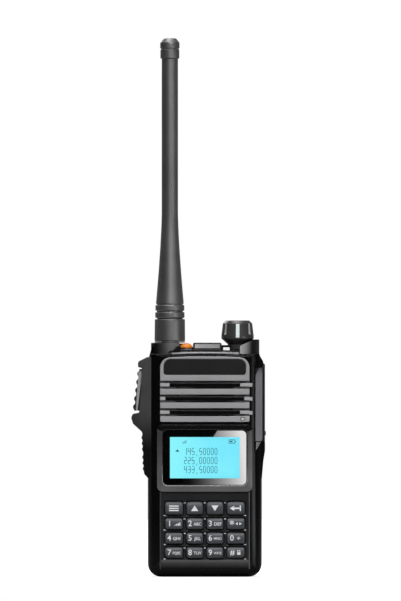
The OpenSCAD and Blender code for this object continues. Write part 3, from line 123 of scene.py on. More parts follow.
class RadioFinishes(bpy.types.PropertyGroup):
    """Colours of the finishes."""

    body: tint("Body", "Black plastic of the housing", 0.003, 0.003, 0.0032)
    panel: tint("Keypad panel", "Sunk panel round the keys", 0.016, 0.0163, 0.0178)
    grille: tint("Grille", "Satin grey of the grille panel", 0.39, 0.386, 0.396)
    tab: tint("Grille tabs", "Pale tabs in the grille slots", 0.43, 0.426, 0.436)
    # Painted shade: one dark grey for the walls and floors of the grille slots, in place of the shade that
    # falls in them
    slot: tint("Grille slots", "Dark floor of the grille slots", 0.09, 0.088, 0.092)
    # Painted highlight: the chin ridge is paler than the body, fading to painted shade towards its foot
    chin: tint("Chin ridge", "Ridge below the keys", 0.06, 0.06, 0.061)
    # Painted highlight: pale strips on the edges of the keypad panel, darker on the left as painted shade
    rail: tint("Panel rails", "Satin rails beside the keypad panel", 0.1, 0.1, 0.102)
    # Painted glints: pale drops on the webs between the keys
    bead: tint("Panel beads", "Pale beads between the keys", 0.6, 0.61, 0.62)
    # Painted highlight: grey on the black antenna tower, standing in for its lit face
    tower: tint("Antenna tower", "Satin tower under the antenna", 0.16, 0.16, 0.16)
    # Painted highlight: pale grey on the black wall beside the knob, standing in for its lit face
    guard: tint("Knob guard", "Wall beside the knob", 0.42, 0.41, 0.42)
    badge: tint("Badge", "Bare plate above the grille", 0.013, 0.013, 0.014)
    bezel: tint("Display frame", "Plastic frame round the display", 0.004, 0.004, 0.0042)
    # Partly real satin grey, partly painted reflection on the sloping rim of the display frame; darker
    # towards the top as painted shade
    rim: tint("Display rim", "Satin slope of the display frame", 0.115, 0.114, 0.117)
    # Painted glint: near white on the inner edge of the display frame, darkening upwards as painted shade
    glint: tint("Display edge", "Bright inner edge of the display frame", 0.9, 0.9, 0.9)
    glow: tint("Display glow", "Backlight of the display", 0.16, 0.78, 0.97)
    ink: tint("Display ink", "Dots of the display", 0.01, 0.11, 0.16)
    tray: tint("Display tray", "Metal tray of the display", 0.3, 0.3, 0.3)
    key: tint("Keys", "Blue-grey of the keys", 0.1, 0.108, 0.122)
    legend: tint("Legends", "White print on the keys", 0.86, 0.87, 0.88)
    # Painted shade: the side frame darkens towards its lower end
    side: tint("Side frame", "Grey of the side frame", 0.068, 0.068, 0.068)
    # Painted highlight: the pale strip on the talk lever stands in for a highlight
    lever: tint("Talk lever", "Pale strip on the talk lever", 0.4, 0.4, 0.4)
    side_key: tint("Side keys", "Rubber of the talk lever and the side keys", 0.006, 0.006, 0.006)
    flap: tint("Socket flap", "Rubber of the socket flap", 0.006, 0.006, 0.0062)
    # Painted highlight: the pale leaf stands in for the reflection of the right light on the sloping face of
    # the flap
    leaf: tint("Flap leaf", "Pale leaf on the socket flap", 0.195, 0.187, 0.202)
    cover: tint("Top cover", "Plastic of the top cover", 0.006, 0.006, 0.006)
    # Partly real gloss, partly painted highlight: pale grey on the polished slope of the deck lip
    lip: tint("Deck lip", "Polished slope of the deck lip", 0.2, 0.195, 0.205)
    # Painted highlight: pale grey on the ring round the alarm button
    ring: tint("Alarm ring", "Satin ring round the alarm button", 0.45, 0.45, 0.45)
    # Painted highlight: the pale window in the front of the raised block, darker towards the right as painted
    # shade
    window: tint("Top window", "Pale window in the raised block", 0.34, 0.335, 0.34)
    lamp: tint("Status lamp", "Milky lens of the status lamp", 0.85, 0.85, 0.83)
    alarm: tint("Alarm button", "Orange of the alarm button", 0.82, 0.24, 0.018)
    knob: tint("Knob", "Plastic of the volume knob", 0.05, 0.05, 0.05)
    # Painted highlights: pale flutes of the knob stand in for bright streaks
    flute: tint("Knob flutes", "Pale flutes of the knob", 0.45, 0.45, 0.45)
    stripe: tint("Index stripe", "Pale stripe on the knob", 0.84, 0.94, 0.93)
    antenna: tint("Antenna", "Satin rubber of the antenna", 0.225, 0.225, 0.225)
    back: tint("Back", "Plastic of the chassis and the battery", 0.013, 0.013, 0.0135)
    clip: tint("Belt clip", "Plastic of the belt clip", 0.011, 0.011, 0.0115)
    steel: tint("Steel", "Bright steel", 0.62, 0.62, 0.63)
    brass: tint("Brass", "Brass and gilt contacts", 0.78, 0.56, 0.24)
    silicone: tint("Silicone", "Keypad mat and side switches", 0.16, 0.16, 0.17)
    board: tint("Circuit board", "Green of the main board", 0.02, 0.12, 0.05)
    basket: tint("Speaker", "Basket of the loudspeaker", 0.12, 0.12, 0.12)
    cell: tint("Cells", "Wrap of the battery cells", 0.35, 0.36, 0.4)
    socket: tint("Sockets", "Plastic of the socket block", 0.012, 0.012, 0.012)


class RadioStage(bpy.types.PropertyGroup):
    """Studio round the radio."""

    key_power: power("Key light", "Power of the light above the camera", 14.5)
    top_power: power("Top light", "Power of the overhead light", 12)
    right_power: power("Right strip", "Power of the right strip light", 2.4)
    back_power: power("Back light", "Power of the light behind", 6)
    fill: FloatProperty(name="Room light", description="Strength of the light from all round",
                        default=0.1, min=0)
    gleam: FloatProperty(name="Gleam", description="Brightness of the card that the display border mirrors",
                         default=4.4, min=0)
    floor: tint("Floor", "Pale floor", 0.5, 0.5, 0.5)


# Small steps that the operators share; places and sizes are in millimetres

def corners(node):
    """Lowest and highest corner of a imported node."""
    return [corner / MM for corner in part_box(node)]


def setting(name):
    """A size from the panel."""
    return getattr(bpy.context.scene.radio_sizes, name) / MM


def only(*objects):
    """Selects these objects alone, the first one active, in object mode."""
    if bpy.context.view_layer.objects.active and bpy.context.mode != "OBJECT":
        bpy.ops.object.mode_set(mode="OBJECT")
    bpy.ops.object.select_all(action="DESELECT")
    for item in objects:
        item.select_set(True)
    bpy.context.view_layer.objects.active = objects[0]


def edit_all(piece):
    """Opens a piece in edit mode with all of it selected."""
    only(piece)
    bpy.ops.object.mode_set(mode="EDIT")
    bpy.ops.mesh.select_mode(type="FACE")
    bpy.ops.mesh.select_all(action="SELECT")


def done():
    """Leaves edit mode."""
    bpy.ops.object.mode_set(mode="OBJECT")


def pick_faces(piece, test):
    """Opens a piece in edit mode with the faces selected whose middle and normal pass the test."""
    edit_all(piece)
    bpy.ops.mesh.select_all(action="DESELECT")
    done()
    for face in piece.data.polygons:
        face.select = bool(test(face.center / MM, face.normal))
    bpy.ops.object.mode_set(mode="EDIT")


def pick_edges(piece, test):
    """Opens a piece in edit mode with the edges selected whose two ends pass the test."""
    edit_all(piece)
    bpy.ops.mesh.select_mode(type="EDGE")
    bpy.ops.mesh.select_all(action="DESELECT")
    done()
    passing = [test(vertex.co / MM) for vertex in piece.data.vertices]
    for edge in piece.data.edges:
        edge.select = all(passing[end] for end in edge.vertices)
    bpy.ops.object.mode_set(mode="EDIT")


def shift(piece, test, by):
    """Moves the edges whose two ends pass the test."""
    pick_edges(piece, test)
    bpy.ops.transform.translate(value=Vector(by) * MM)
    done()


def round_off(piece, test, width, segments):
    """Rounds the edges whose two ends pass the test."""
    pick_edges(piece, test)
    bpy.ops.mesh.bevel(offset=width * MM, segments=segments, clamp_overlap=False)
    done()


def stretch(piece, by, centre, test=None):
    """Stretches a piece, or its edges whose two ends pass the test, about a place."""
    if test:
        pick_edges(piece, test)
    else:
        edit_all(piece)
    bpy.ops.transform.resize(value=by, center_override=Vector(centre) * MM)
    done()


def placed(piece, name, at=(0, 0, 0), turn=(0, 0, 0), size=(1, 1, 1)):
    """Names a new piece, moves, turns and sizes it, and puts its place into its mesh."""
    piece.name = piece.data.name = name
    piece.location, piece.rotation_euler, piece.scale = Vector(at) * MM, turn, size
    only(piece)
    bpy.ops.object.transform_apply(location=True, rotation=True, scale=True)
    return piece


def block(name, low, high):
    """A block between two corners, as the start of a piece."""
    bpy.ops.mesh.primitive_cube_add(size=MM)
    low, high = Vector(low), Vector(high)
    return placed(bpy.context.object, name, (low + high) / 2, size=high - low)


def joined(parts, name):
    """Joins finished parts into one piece."""
    only(*parts)
    bpy.ops.object.join()
    piece = bpy.context.object
    piece.name = piece.data.name = name
    return piece


def modifier(piece, kind, **values):
    """Adds a modifier to a piece and applies it."""
    only(piece)
    bpy.ops.object.modifier_add(type=kind)
    made = piece.modifiers[-1]
    for key, value in values.items():
        setattr(made, key, value)
    bpy.ops.object.modifier_apply(modifier=made.name)


def smooth(piece, degrees=32):
    """Smooth shading, with edges sharper than the angle kept."""
    only(piece)
    bpy.ops.object.shade_smooth_by_angle(angle=math.radians(degrees))
    modifier(piece, "WEIGHTED_NORMAL", keep_sharp=True, weight=60)


def triangles(piece):
    """Cuts the faces of a piece into triangles."""
    edit_all(piece)
    bpy.ops.mesh.quads_convert_to_tris(quad_method="BEAUTY", ngon_method="BEAUTY")
    done()


def soften(piece, width, segments=2):
    """Rounds the sharp edges of a piece, cut into triangles first so that no flat face with holes tears."""
    triangles(piece)
    modifier(
        piece, "BEVEL", width=width * MM, segments=segments, limit_method="ANGLE",
        angle_limit=math.radians(30), loop_slide=False, use_clamp_overlap=False,
    )
    smooth(piece)


def merged(node):
    """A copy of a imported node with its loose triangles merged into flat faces."""
    source = frame["nodes"][node]
    piece = source.copy()
    piece.data = source.data.copy()
    piece.name = piece.data.name = node + "_piece"
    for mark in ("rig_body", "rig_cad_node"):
        del piece[mark]
    piece.parent = None
    piece.matrix_world = Matrix.Identity(4)
    bpy.context.scene.collection.objects.link(piece)
    piece.data.materials.clear()
    only(piece)
    bpy.ops.mesh.customdata_custom_splitnormals_clear()
    edit_all(piece)
    bpy.ops.mesh.remove_doubles(threshold=1e-6)
    bpy.ops.mesh.dissolve_limited(angle_limit=math.radians(0.4))
    done()
    return piece


def coat(piece, coating, test=None):
    """Gives a finish to a piece, or to those of its faces that pass the test."""
    piece.data.materials.append(coating)
    if test:
        pick_faces(piece, test)
        piece.active_material_index = len(piece.data.materials) - 1
        bpy.ops.object.material_slot_assign()
        done()


def slit(piece, test, line):
    """Cuts the faces that pass the test along a line through two places (x, z), seen from the front."""
    (x0, z0), (x1, z1) = line
    pick_faces(piece, test)
    bpy.ops.mesh.bisect(plane_co=(x0 * MM, 0, z0 * MM), plane_no=Vector((z1 - z0, 0, x0 - x1)).normalized())
    done()


def right_of(place, line):
    """Whether a place lies to the right of a rising line, seen from the front."""
    (x0, z0), (x1, z1) = line
    return (place.x - x0) * (z1 - z0) > (place.z - z0) * (x1 - x0)


def bowed(piece, axis, centre, reach, fall, front=None):
    """Cuts a piece, or its front, across an axis and lets it fall away towards both ends."""
    cuts, between = (0.2, 0.45, 0.7), (0.8, 0.9, 0.97)
    across = Vector((0, 0, 0))
    across[axis] = 1
    for share in cuts:
        for side in (-1, 1):
            pick_faces(piece, lambda m, n: front is None or n.y < -0.9 and m.y < front + 0.02)
            bpy.ops.mesh.bisect(plane_co=across * (centre + side * share * reach) * MM, plane_no=across)
            done()
    fallen = 0
    for share in cuts + between:
        shift(piece, lambda p: (front is None or p.y < front + 0.6)
              and abs(p[axis] - centre) > share * reach - 0.01, Vector(fall) * (share ** 2 - fallen))
        fallen = share ** 2


def fitted(piece, node):
    """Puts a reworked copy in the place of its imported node."""
    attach(piece, BODY_OF[node])
    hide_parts(node)


def reworked(node, name, width, segments=2):
    """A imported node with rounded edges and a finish."""
    piece = merged(node)
    coat(piece, finish(name))
    soften(piece, width, segments)
    fitted(piece, node)


def added(piece, coating, body="radio"):
    """Coats a new piece and lets it move with a body."""
    coat(piece, coating)
    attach(piece, body)


def trim(piece, coating, width=0, segments=2, degrees=40, body="radio"):
    """Adds a new piece with its edges rounded, or only smoothed where no width is given."""
    added(piece, coating, body)
    if width:
        soften(piece, width, segments)
    else:
        smooth(piece, degrees)


# Finishes

BRUSHED = dict(grain=0.25, depth=0.002, mottle=0.12, metal=1.0, stretch=(1, 1, 0.15))
FINISHES = {
    "body black": dict(tone="body", rough=0.22, depth=0.0008, wear=0.06, specular=0.15, polish=0.01),
    "keypad panel": dict(tone="panel", rough=0.34, depth=0.002, wear=0.1, specular=0.35),
    # Painted shade in the grille slots
    "slot dark": dict(tone="slot", rough=0.4, depth=0.001, specular=0.2),
    # Painted highlight on the antenna tower, darkening to painted shade towards its left side
    "tower grey": dict(tone="tower", rough=0.55, depth=0.001, metal=0.6, fade=("X", -24.5, -18, 0.02)),
    # Painted highlight fading to painted shade: pale at the side of the knob, near black towards the right
    "guard grey": dict(tone="guard", rough=0.4, depth=0.001, fade=("X", 23.5, 17.5, 0.01)),
    # Painted highlight on the chin ridge
    "chin satin": dict(tone="chin", rough=0.42, depth=0.001, specular=0.15),
    # Painted highlight on the edges of the keypad panel
    "rail satin": dict(tone="rail", rough=0.35, depth=0.001),
    # Painted glints between the keys
    "bead pale": dict(tone="bead", rough=0.3, depth=0.001),
    "grille grey": dict(tone="grille", rough=0.42, grain=0.3, mottle=0.06, wear=0.1, metal=0.15),
    "tab grey": dict(tone="tab", rough=0.45, mottle=0.05),
    "badge dark": dict(tone="badge", rough=0.32, grain=0.2, depth=0.002, wear=0.1),
    "display frame": dict(tone="bezel", rough=0.28, depth=0.0015, specular=0.2),
    # Painted reflection on the display rim, with painted shade towards the top
    "display rim": dict(tone="rim", rough=0.36, depth=0.0015, wear=0.1, fade=("Z", 80, 44, 0.3)),
    # Painted glint on the inner edge of the display frame
    "display edge": dict(tone="glint", rough=0.25, depth=0.001),
    "display tray": dict(tone="tray", rough=0.3, **BRUSHED),
    "display ink": dict(tone="ink", rough=0.5, mottle=0.1),
    "key": dict(tone="key", rough=0.4, grain=0.3, mottle=0.08, wear=0.08),
    "white print": dict(tone="legend", rough=0.5, grain=0.2, depth=0.002, mottle=0.03),
    # Painted shade: darker towards the bottom of the side frame
    "side grey": dict(tone="side", rough=0.42, grain=0.5, depth=0.008, wear=0.1, specular=0.3,
                      fade=("Z", 64, 86, 0.05)),
    "side rubber": dict(tone="side_key", rough=0.55, grain=0.3, depth=0.006),
    # Painted highlight on the talk lever
    "lever strip": dict(tone="lever", rough=0.4, wear=0.1),
    "flap rubber": dict(tone="flap", rough=0.5, depth=0.006),
    # Painted highlight on the socket flap, with painted shade darkening its top
    "flap leaf": dict(tone="leaf", rough=0.45, depth=0.006, mottle=0.1, fade=("Z", 106, 101.5, 0.1)),
    "cover dark": dict(tone="cover", rough=0.42, wear=0.06, specular=0.15),
    # Painted highlight on the slope of the deck lip
    "lip polish": dict(tone="lip", rough=0.25, depth=0.001),
    # Painted highlight with painted shade towards the right
    "top window": dict(tone="window", rough=0.4, mottle=0.06, fade=("X", 14, -5, 0.3)),
    "lamp lens": dict(tone="lamp", rough=0.3, grain=0.3, depth=0.002, mottle=0.03, glow=0.35),
    "alarm orange": dict(tone="alarm", rough=0.35, mottle=0.08),
    # Painted highlight on the ring round the alarm button
    "ring satin": dict(tone="ring", rough=0.3, metal=0.5),
    "knob black": dict(tone="knob", rough=0.3, grain=0.3, depth=0.003, wear=0.08),
    # Painted highlight streaks on the flutes of the knob
    "flute pale": dict(tone="flute", rough=0.35, depth=0.001),
    "stripe white": dict(tone="stripe", rough=0.4, mottle=0.03),
    "antenna rubber": dict(tone="antenna", rough=0.47, grain=0.35, mottle=0.08, metal=0.85),
    "back black": dict(tone="back", rough=0.42, grain=0.55, depth=0.012, wear=0.1),
    "clip black": dict(tone="clip", rough=0.36, grain=0.5, depth=0.008, wear=0.12),
    "bright steel": dict(tone="steel", rough=0.3, **BRUSHED),
    "gilt brass": dict(tone="brass", rough=0.3, **BRUSHED),
    "grey silicone": dict(tone="silicone", rough=0.6, grain=0.5),
    "circuit board": dict(tone="board", rough=0.35, grain=1.2, depth=0.02, mottle=0.4),
    "speaker basket": dict(tone="basket", rough=0.4, **BRUSHED),
    "cell wrap": dict(tone="cell", rough=0.35, **BRUSHED),
    "socket black": dict(tone="socket", rough=0.4),
}


def feed(tree, socket, value):
    """Links a socket to another node's output, or sets it to a plain value."""
    if isinstance(value, bpy.types.NodeSocket):
        tree.links.new(value, socket)
    else:
        socket.default_value = value


def fill(tree, node, **sockets):
    """Feeds the sockets of a shader node by their names."""
    for name, value in sockets.items():
        feed(tree, node.inputs[name.replace("_", " ")], value)
    return node


def add_node(tree, kind, **sockets):
    """A new shader node with its sockets fed."""
    return fill(tree, tree.nodes.new("ShaderNode" + kind), **sockets)


def noise(tree, place, scale, detail):
    """Noise at a place."""
    return add_node(tree, "TexNoise", Vector=place, Scale=scale, Detail=detail).outputs[0]


def along(tree, place, axis):
    """One coordinate of a place."""
    return add_node(tree, "SeparateXYZ", Vector=place).outputs[axis]


def spread(tree, value, low, high, start=0.3, end=0.7):
    """Spreads a value from start..end over low..high."""
    made = add_node(tree, "MapRange")
    for socket, number in zip(made.inputs, (value, start, end, low, high)):
        feed(tree, socket, number)
    return made.outputs[0]


def mixed(tree, share, first, second, kind="RGBA"):
    """Mixes two colours or two numbers."""
    first_in, result = {"FLOAT": (2, 0), "RGBA": (6, 2)}[kind]
    made = add_node(tree, "Mix")
    made.data_type = kind
    for place, value in ((0, share), (first_in, first), (first_in + 1, second)):
        feed(tree, made.inputs[place], value)
    return made.outputs[result]


def worked_out(tree, kind, operation, first, second):
    """The number that a math node works out from two values."""
    made = add_node(tree, kind)
    made.operation = operation
    for socket, value in zip(made.inputs, (first, second)):
        feed(tree, socket, value)
    return made.outputs["Value"]


def scaled(colour, share):
    """A colour made darker or paler, with its alpha."""
    return (*(min(1.0, channel * share) for channel in colour), 1)


def start_finish(name, stretch=(1, 1, 1)):
    """A new node material: its tree, its shader and object coordinates stretched as asked."""
    made = bpy.data.materials.new(name)
    made.use_nodes = True
    tree = made.node_tree
    place = add_node(tree, "TexCoord").outputs["Object"]
    if stretch != (1, 1, 1):
        place = add_node(tree, "Mapping", Vector=place, Scale=stretch).outputs["Vector"]
    return made, tree, tree.nodes["Principled BSDF"], place


def worn_edges(tree, place, radius):
    """A mask of rubbed edges, broken up by noise."""
    bevel = add_node(tree, "Bevel", Radius=radius)
    bevel.samples = 4
    surface = add_node(tree, "NewGeometry")
    facing = worked_out(tree, "VectorMath", "DOT_PRODUCT", bevel.outputs["Normal"], surface.outputs["Normal"])
    edge = spread(tree, facing, 1, 0, 0.8, 0.99)
    patch = spread(tree, noise(tree, place, 420, 4), 0.1, 1, 0.35, 0.65)
    return worked_out(tree, "Math", "MULTIPLY", edge, patch)


def moulded(name, tone, rough, grain=0.4, depth=0.004, mottle=0.15, wear=0.0, metal=0.0, specular=0.5,
            stretch=(1, 1, 1), fade=None, polish=0.03, glow=0.0):
    """Moulded, painted or turned surface: fine grain, slow change of tone and polish, rubbed edges.

    A fade (axis, dark, full, share) paints shade: it darkens the colour between two places, in millimetres
    along
    the axis: at full it is kept, and at dark that share of it is left.
    """
    made, tree, shader, place = start_finish(name, stretch)
    plain = getattr(bpy.context.scene.radio_finishes, tone)
    broad = spread(tree, noise(tree, place, 70, 4), 0, 1)
    colour = mixed(tree, broad, scaled(plain, 1 - mottle), scaled(plain, 1 + mottle))
    if fade:
        axis, dark, full, share = fade
        shade_fade = spread(tree, along(tree, place, axis), 0, 1, dark * MM, full * MM)
        colour = mixed(tree, shade_fade, scaled(plain, share), colour)
    if wear:
        rubbed = (*(channel + wear * (0.25 - 0.25 * channel) for channel in plain), 1)
        colour = mixed(tree, worn_edges(tree, place, 0.35 * MM), colour, rubbed)
    fleck = spread(tree, noise(tree, place, 900, 3), rough - polish, rough + polish)
    bump = add_node(tree, "Bump", Strength=0.6, Distance=depth * MM,
                    Height=noise(tree, place, 1 / (grain * MM), 2))
    fill(tree, shader, Base_Color=colour, Roughness=fleck, Normal=bump.outputs["Normal"], Metallic=metal,
         Specular_IOR_Level=specular, Emission_Color=(1, 1, 1, 1), Emission_Strength=glow)
    return made


def finish(name, kind=None, **more):
    """A finish of the list, made once and then shared, with more details where a piece gives them."""
    return bpy.data.materials.get(name) or moulded(name, **FINISHES[kind or name], **more)


def clear_window():
    """Clear window of the display: it lets the light through, with a thin, slightly hazy gloss."""
    made, tree, shader, place = start_finish("display window")
    haze = spread(tree, noise(tree, place, 300, 3), 0.04, 0.08)
    fill(tree, shader, Base_Color=(0.01, 0.01, 0.01, 1), Roughness=haze)
    slant = add_node(tree, "LayerWeight", Blend=0.5).outputs["Facing"]
    gloss = spread(tree, slant, 0.008, 0.6, 0.3, 1)
    clear, both = add_node(tree, "BsdfTransparent"), add_node(tree, "MixShader")
    for socket, value in zip(both.inputs, (gloss, clear.outputs[0], shader.outputs[0])):
        feed(tree, socket, value)
    fill(tree, tree.nodes["Material Output"], Surface=both.outputs[0])
    return made


def window_border():
    """Black print behind the polished border of the display window."""
    made, tree, shader, place = start_finish("window border")
    broad = spread(tree, noise(tree, place, 90, 3), 0, 1)
    fill(tree, shader, Base_Color=mixed(tree, broad, (0.002, 0.002, 0.002, 1), (0.004, 0.004, 0.0045, 1)),
         IOR=2.4, Roughness=spread(tree, noise(tree, place, 500, 3), 0.006, 0.014))
    return made


def backlight():
    """Lit face of the display, a little paler towards the left."""
    made, tree, shader, place = start_finish("display glow")
    red, green, blue = bpy.context.scene.radio_finishes.glow
    plain, pale = (red, green, blue, 1), (red * 1.5, min(1, green * 1.15), blue, 1)
    across = mixed(tree, spread(tree, along(tree, place, "X"), 0, 1, -16 * MM, 8 * MM), pale, plain)
    cloud = spread(tree, noise(tree, place, 60, 2), 0, 0.5, 0.4, 0.7)
    fill(tree, shader, Base_Color=(0.01, 0.02, 0.02, 1), Roughness=0.5,
         Emission_Color=mixed(tree, cloud, across, pale), Emission_Strength=1)
    return made


# Operators

class RADIO_OT_housing(bpy.types.Operator):
    """Front housing with its sunk keypad panel"""

    bl_idname = "radio.housing"
    bl_label = "Housing"

    def execute(self, context):
        piece = merged("front_housing")
        front, deck = corners("front_housing")[0].y, corners("top_cover")[0].z
        mat_low, mat_high = corners("keypad_mat")
        grille_low, grille_high = corners("grille_panel")
        coat(piece, finish("body black"))
        # Painted light: the sides and back of the housing take the paler back plastic, so that they read
        # lighter than the black front
        coat(piece, finish("back black"), lambda m, n: abs(n.x) > 0.95 or n.y > 0.5)
        coat(piece, finish("keypad panel"), lambda m, n: n.y < -0.9 and front + 0.3 < m.y < front + 2.2
             and abs(m.x) < mat_high.x + 1.5 and mat_low.z - 4 < m.z < mat_high.z + 3)
        # Painted shade: the housing's floor behind the grille slots takes the dark slot grey
        coat(piece, finish("slot dark"), lambda m, n: n.y < -0.5 and m.y > front + 0.2
             and abs(m.x) < grille_high.x and grille_low.z < m.z < grille_high.z)
        # Painted highlight on the antenna tower, with painted shade towards its left
        coat(piece, finish("tower grey"), lambda m, n: m.z > deck + 0.2 and m.x < 0 and abs(n.z) < 0.5)
        # Painted highlight on the wall beside the knob, fading to painted shade on its right
        coat(piece, finish("guard grey"), lambda m, n: m.z > deck + 0.1 and m.x > 12 and n.y < -0.2)
        self.highlight_leaf_tip(piece)
        soften(piece, setting("edge"))
        fitted(piece, "front_housing")
        panel_edge, rail_in = corners("key_exit")[1].x + 2.5, 0.65
        self.shoulder()
        self.chin(front, panel_edge)
        self.rails(front, panel_edge - rail_in)
        self.beads(front + 0.8)
        return {"FINISHED"}

    def highlight_leaf_tip(self, piece):
        """Tip of the pale leaf, a painted highlight, which runs past the foot of the socket flap onto the
        housing.
        """
        left = ((25.6, 50), (25.6, 120))

        def slope(m, n):
            return n.y < -0.3 and n.x > 0.2 and m.x > 24

        for line in (left, HIGHLIGHT_LEAF_RIGHT, HIGHLIGHT_LEAF_FOOT):
            slit(piece, slope, line)
        coat(piece, finish("flap leaf"), lambda m, n: slope(m, n) and 60 < m.z < 68 and right_of(m, left)
             and not right_of(m, HIGHLIGHT_LEAF_RIGHT) and not right_of(m, HIGHLIGHT_LEAF_FOOT))

    def shoulder(self):
        """Small fairing that leads from the antenna tower down to the side frame."""
        left, right, foot, top, head_w, drop = -28.3, -26.2, 108.5, 115.2, 0.5, 0.6
        fairing = block("shoulder_fairing", (left, -10, foot), (right, -1, top))
        shift(fairing, lambda p: p.x < left + 0.1 and p.z > top - 0.1, (right - left - head_w, 0, -drop))
        trim(fairing, finish("body black"), setting("fine_edge"))

    def chin(self, front, half):
        """Ridge below the keys, curving out from the panel to the front."""
        foot, top, deep = 3.1, 8.7, 0.86
        tall = top - foot
        ridge = block("chin_ridge", (-half, front, foot), (half, front + tall, top))
        round_off(ridge, lambda p: p.z > top - 0.1 and p.y < front + 0.1, 0.9 * tall, 12)
        stretch(ridge, (1, deep / tall, 1), (0, front, 0))
        # Painted shade: the ridge darkens towards its foot, where 2 % of its colour is left
        trim(ridge, finish("chin satin", fade=("Z", foot + 1.3, top - 0.5, 0.02)))

    def rails(self, front, edge):
        """Thin pale strips along both sides of the keypad panel: painted highlights on its edges, the left
        one darker as painted shade.
        """
        half, foot, top = 0.3, 4, corners("lcd_bezel")[0].z
        rails = joined([block("keypad_rail", (x - half, front - 0.1, foot), (x + half, front + 0.9, top))
                        for x in (-edge, edge)], "keypad_rails")
        round_off(rails, lambda p: p.y < front, 0.2, 4)
        trim(rails, finish("rail satin", fade=("X", -edge, edge, 0.4)))

    def beads(self, panel):
        """Small pale drops on the webs between the keys and at their outer corners, painted glints."""
        bpy.ops.mesh.primitive_uv_sphere_add(segments=16, ring_count=8, radius=1)
        first = placed(bpy.context.object, "bead", size=(0.6 * MM, 0.3 * MM, 0.3 * MM))
        edit_all(first)
        bpy.ops.mesh.bisect(plane_co=(0, 0.05 * MM, 0), plane_no=(0, 1, 0), clear_outer=True, use_fill=True)
        done()
        spots = []
        for row in range(0, len(KEYS), KEYS_IN_ROW):
            boxes = [corners(node) for node in KEYS[row:row + KEYS_IN_ROW]]
            low, high = boxes[0][0], boxes[-1][1]
            spots += [((a[1].x + b[0].x) / 2, 0.15 * low.z + 0.85 * high.z) for a, b in zip(boxes, boxes[1:])]
            spots += [(x, low.z + 0.1) for x in (low.x + 0.2, high.x - 0.2)]
        parts = []
        for x, z in spots:
            only(first)
            bpy.ops.object.duplicate()
            parts.append(placed(bpy.context.object, "bead", (x, panel, z)))
        beads = joined(parts, "keypad_beads")
        only(first)
        bpy.ops.object.delete()
        trim(beads, finish("bead pale"), degrees=60)


class RADIO_OT_grille(bpy.types.Operator):
    """Grille panel with pale tabs, the bare badge plate and the microphone"""

    bl_idname = "radio.grille"
    bl_label = "Grille"

    def execute(self, context):
        piece = merged("grille_panel")
        low, high = corners("grille_panel")
        badge_h = 12.5
        front, head = low.y, high.z - badge_h
        coat(piece, finish("grille grey"))
        coat(piece, finish("tab grey"), lambda m, n: n.y < -0.9 and front + 0.4 < m.y < front + 0.8
             and abs(m.x) > 14 and m.z < head)
        # Painted shade: the walls and floors of the slots take the dark slot grey instead of the grille grey
        coat(piece, finish("slot dark"), lambda m, n: m.z < head and (m.y > front + 0.8 or abs(n.z) > 0.9))
        soften(piece, 0.2)
        fitted(piece, "grille_panel")
        reworked("badge_plate", "badge dark", setting("fine_edge"), 3)
        self.bead(front)
        self.tab_ends(front, high.x)
        return {"FINISHED"}

    def tab_ends(self, front, edge):
        """Ends of the right tabs, which reach past the grille onto the housing."""
        top_tab, pitch, tall = 95.2, 7, 1.8
        feet = [top_tab - pitch * line for line in range(3)]
        ends = joined([
            block("tab_end", (edge - 0.2, front + 0.6, foot), (edge + 1.5, front + 1.3, foot + tall))
            for foot in feet
        ], "tab_ends")
        trim(ends, finish("tab grey"), setting("fine_edge"))

    def bead(self, front):
        """White bead in the microphone hole."""
        low, high = corners("microphone")
        middle = (low + high) / 2
        bpy.ops.mesh.primitive_cylinder_add(vertices=32, radius=0.68 * MM, depth=1.2 * MM)
        bead = placed(bpy.context.object, "microphone_bead", (middle.x, front + 0.75, middle.z), UPRIGHT)
        round_off(bead, lambda p: p.y < front + 0.3, 0.4, 5)
        trim(bead, finish("white print"))


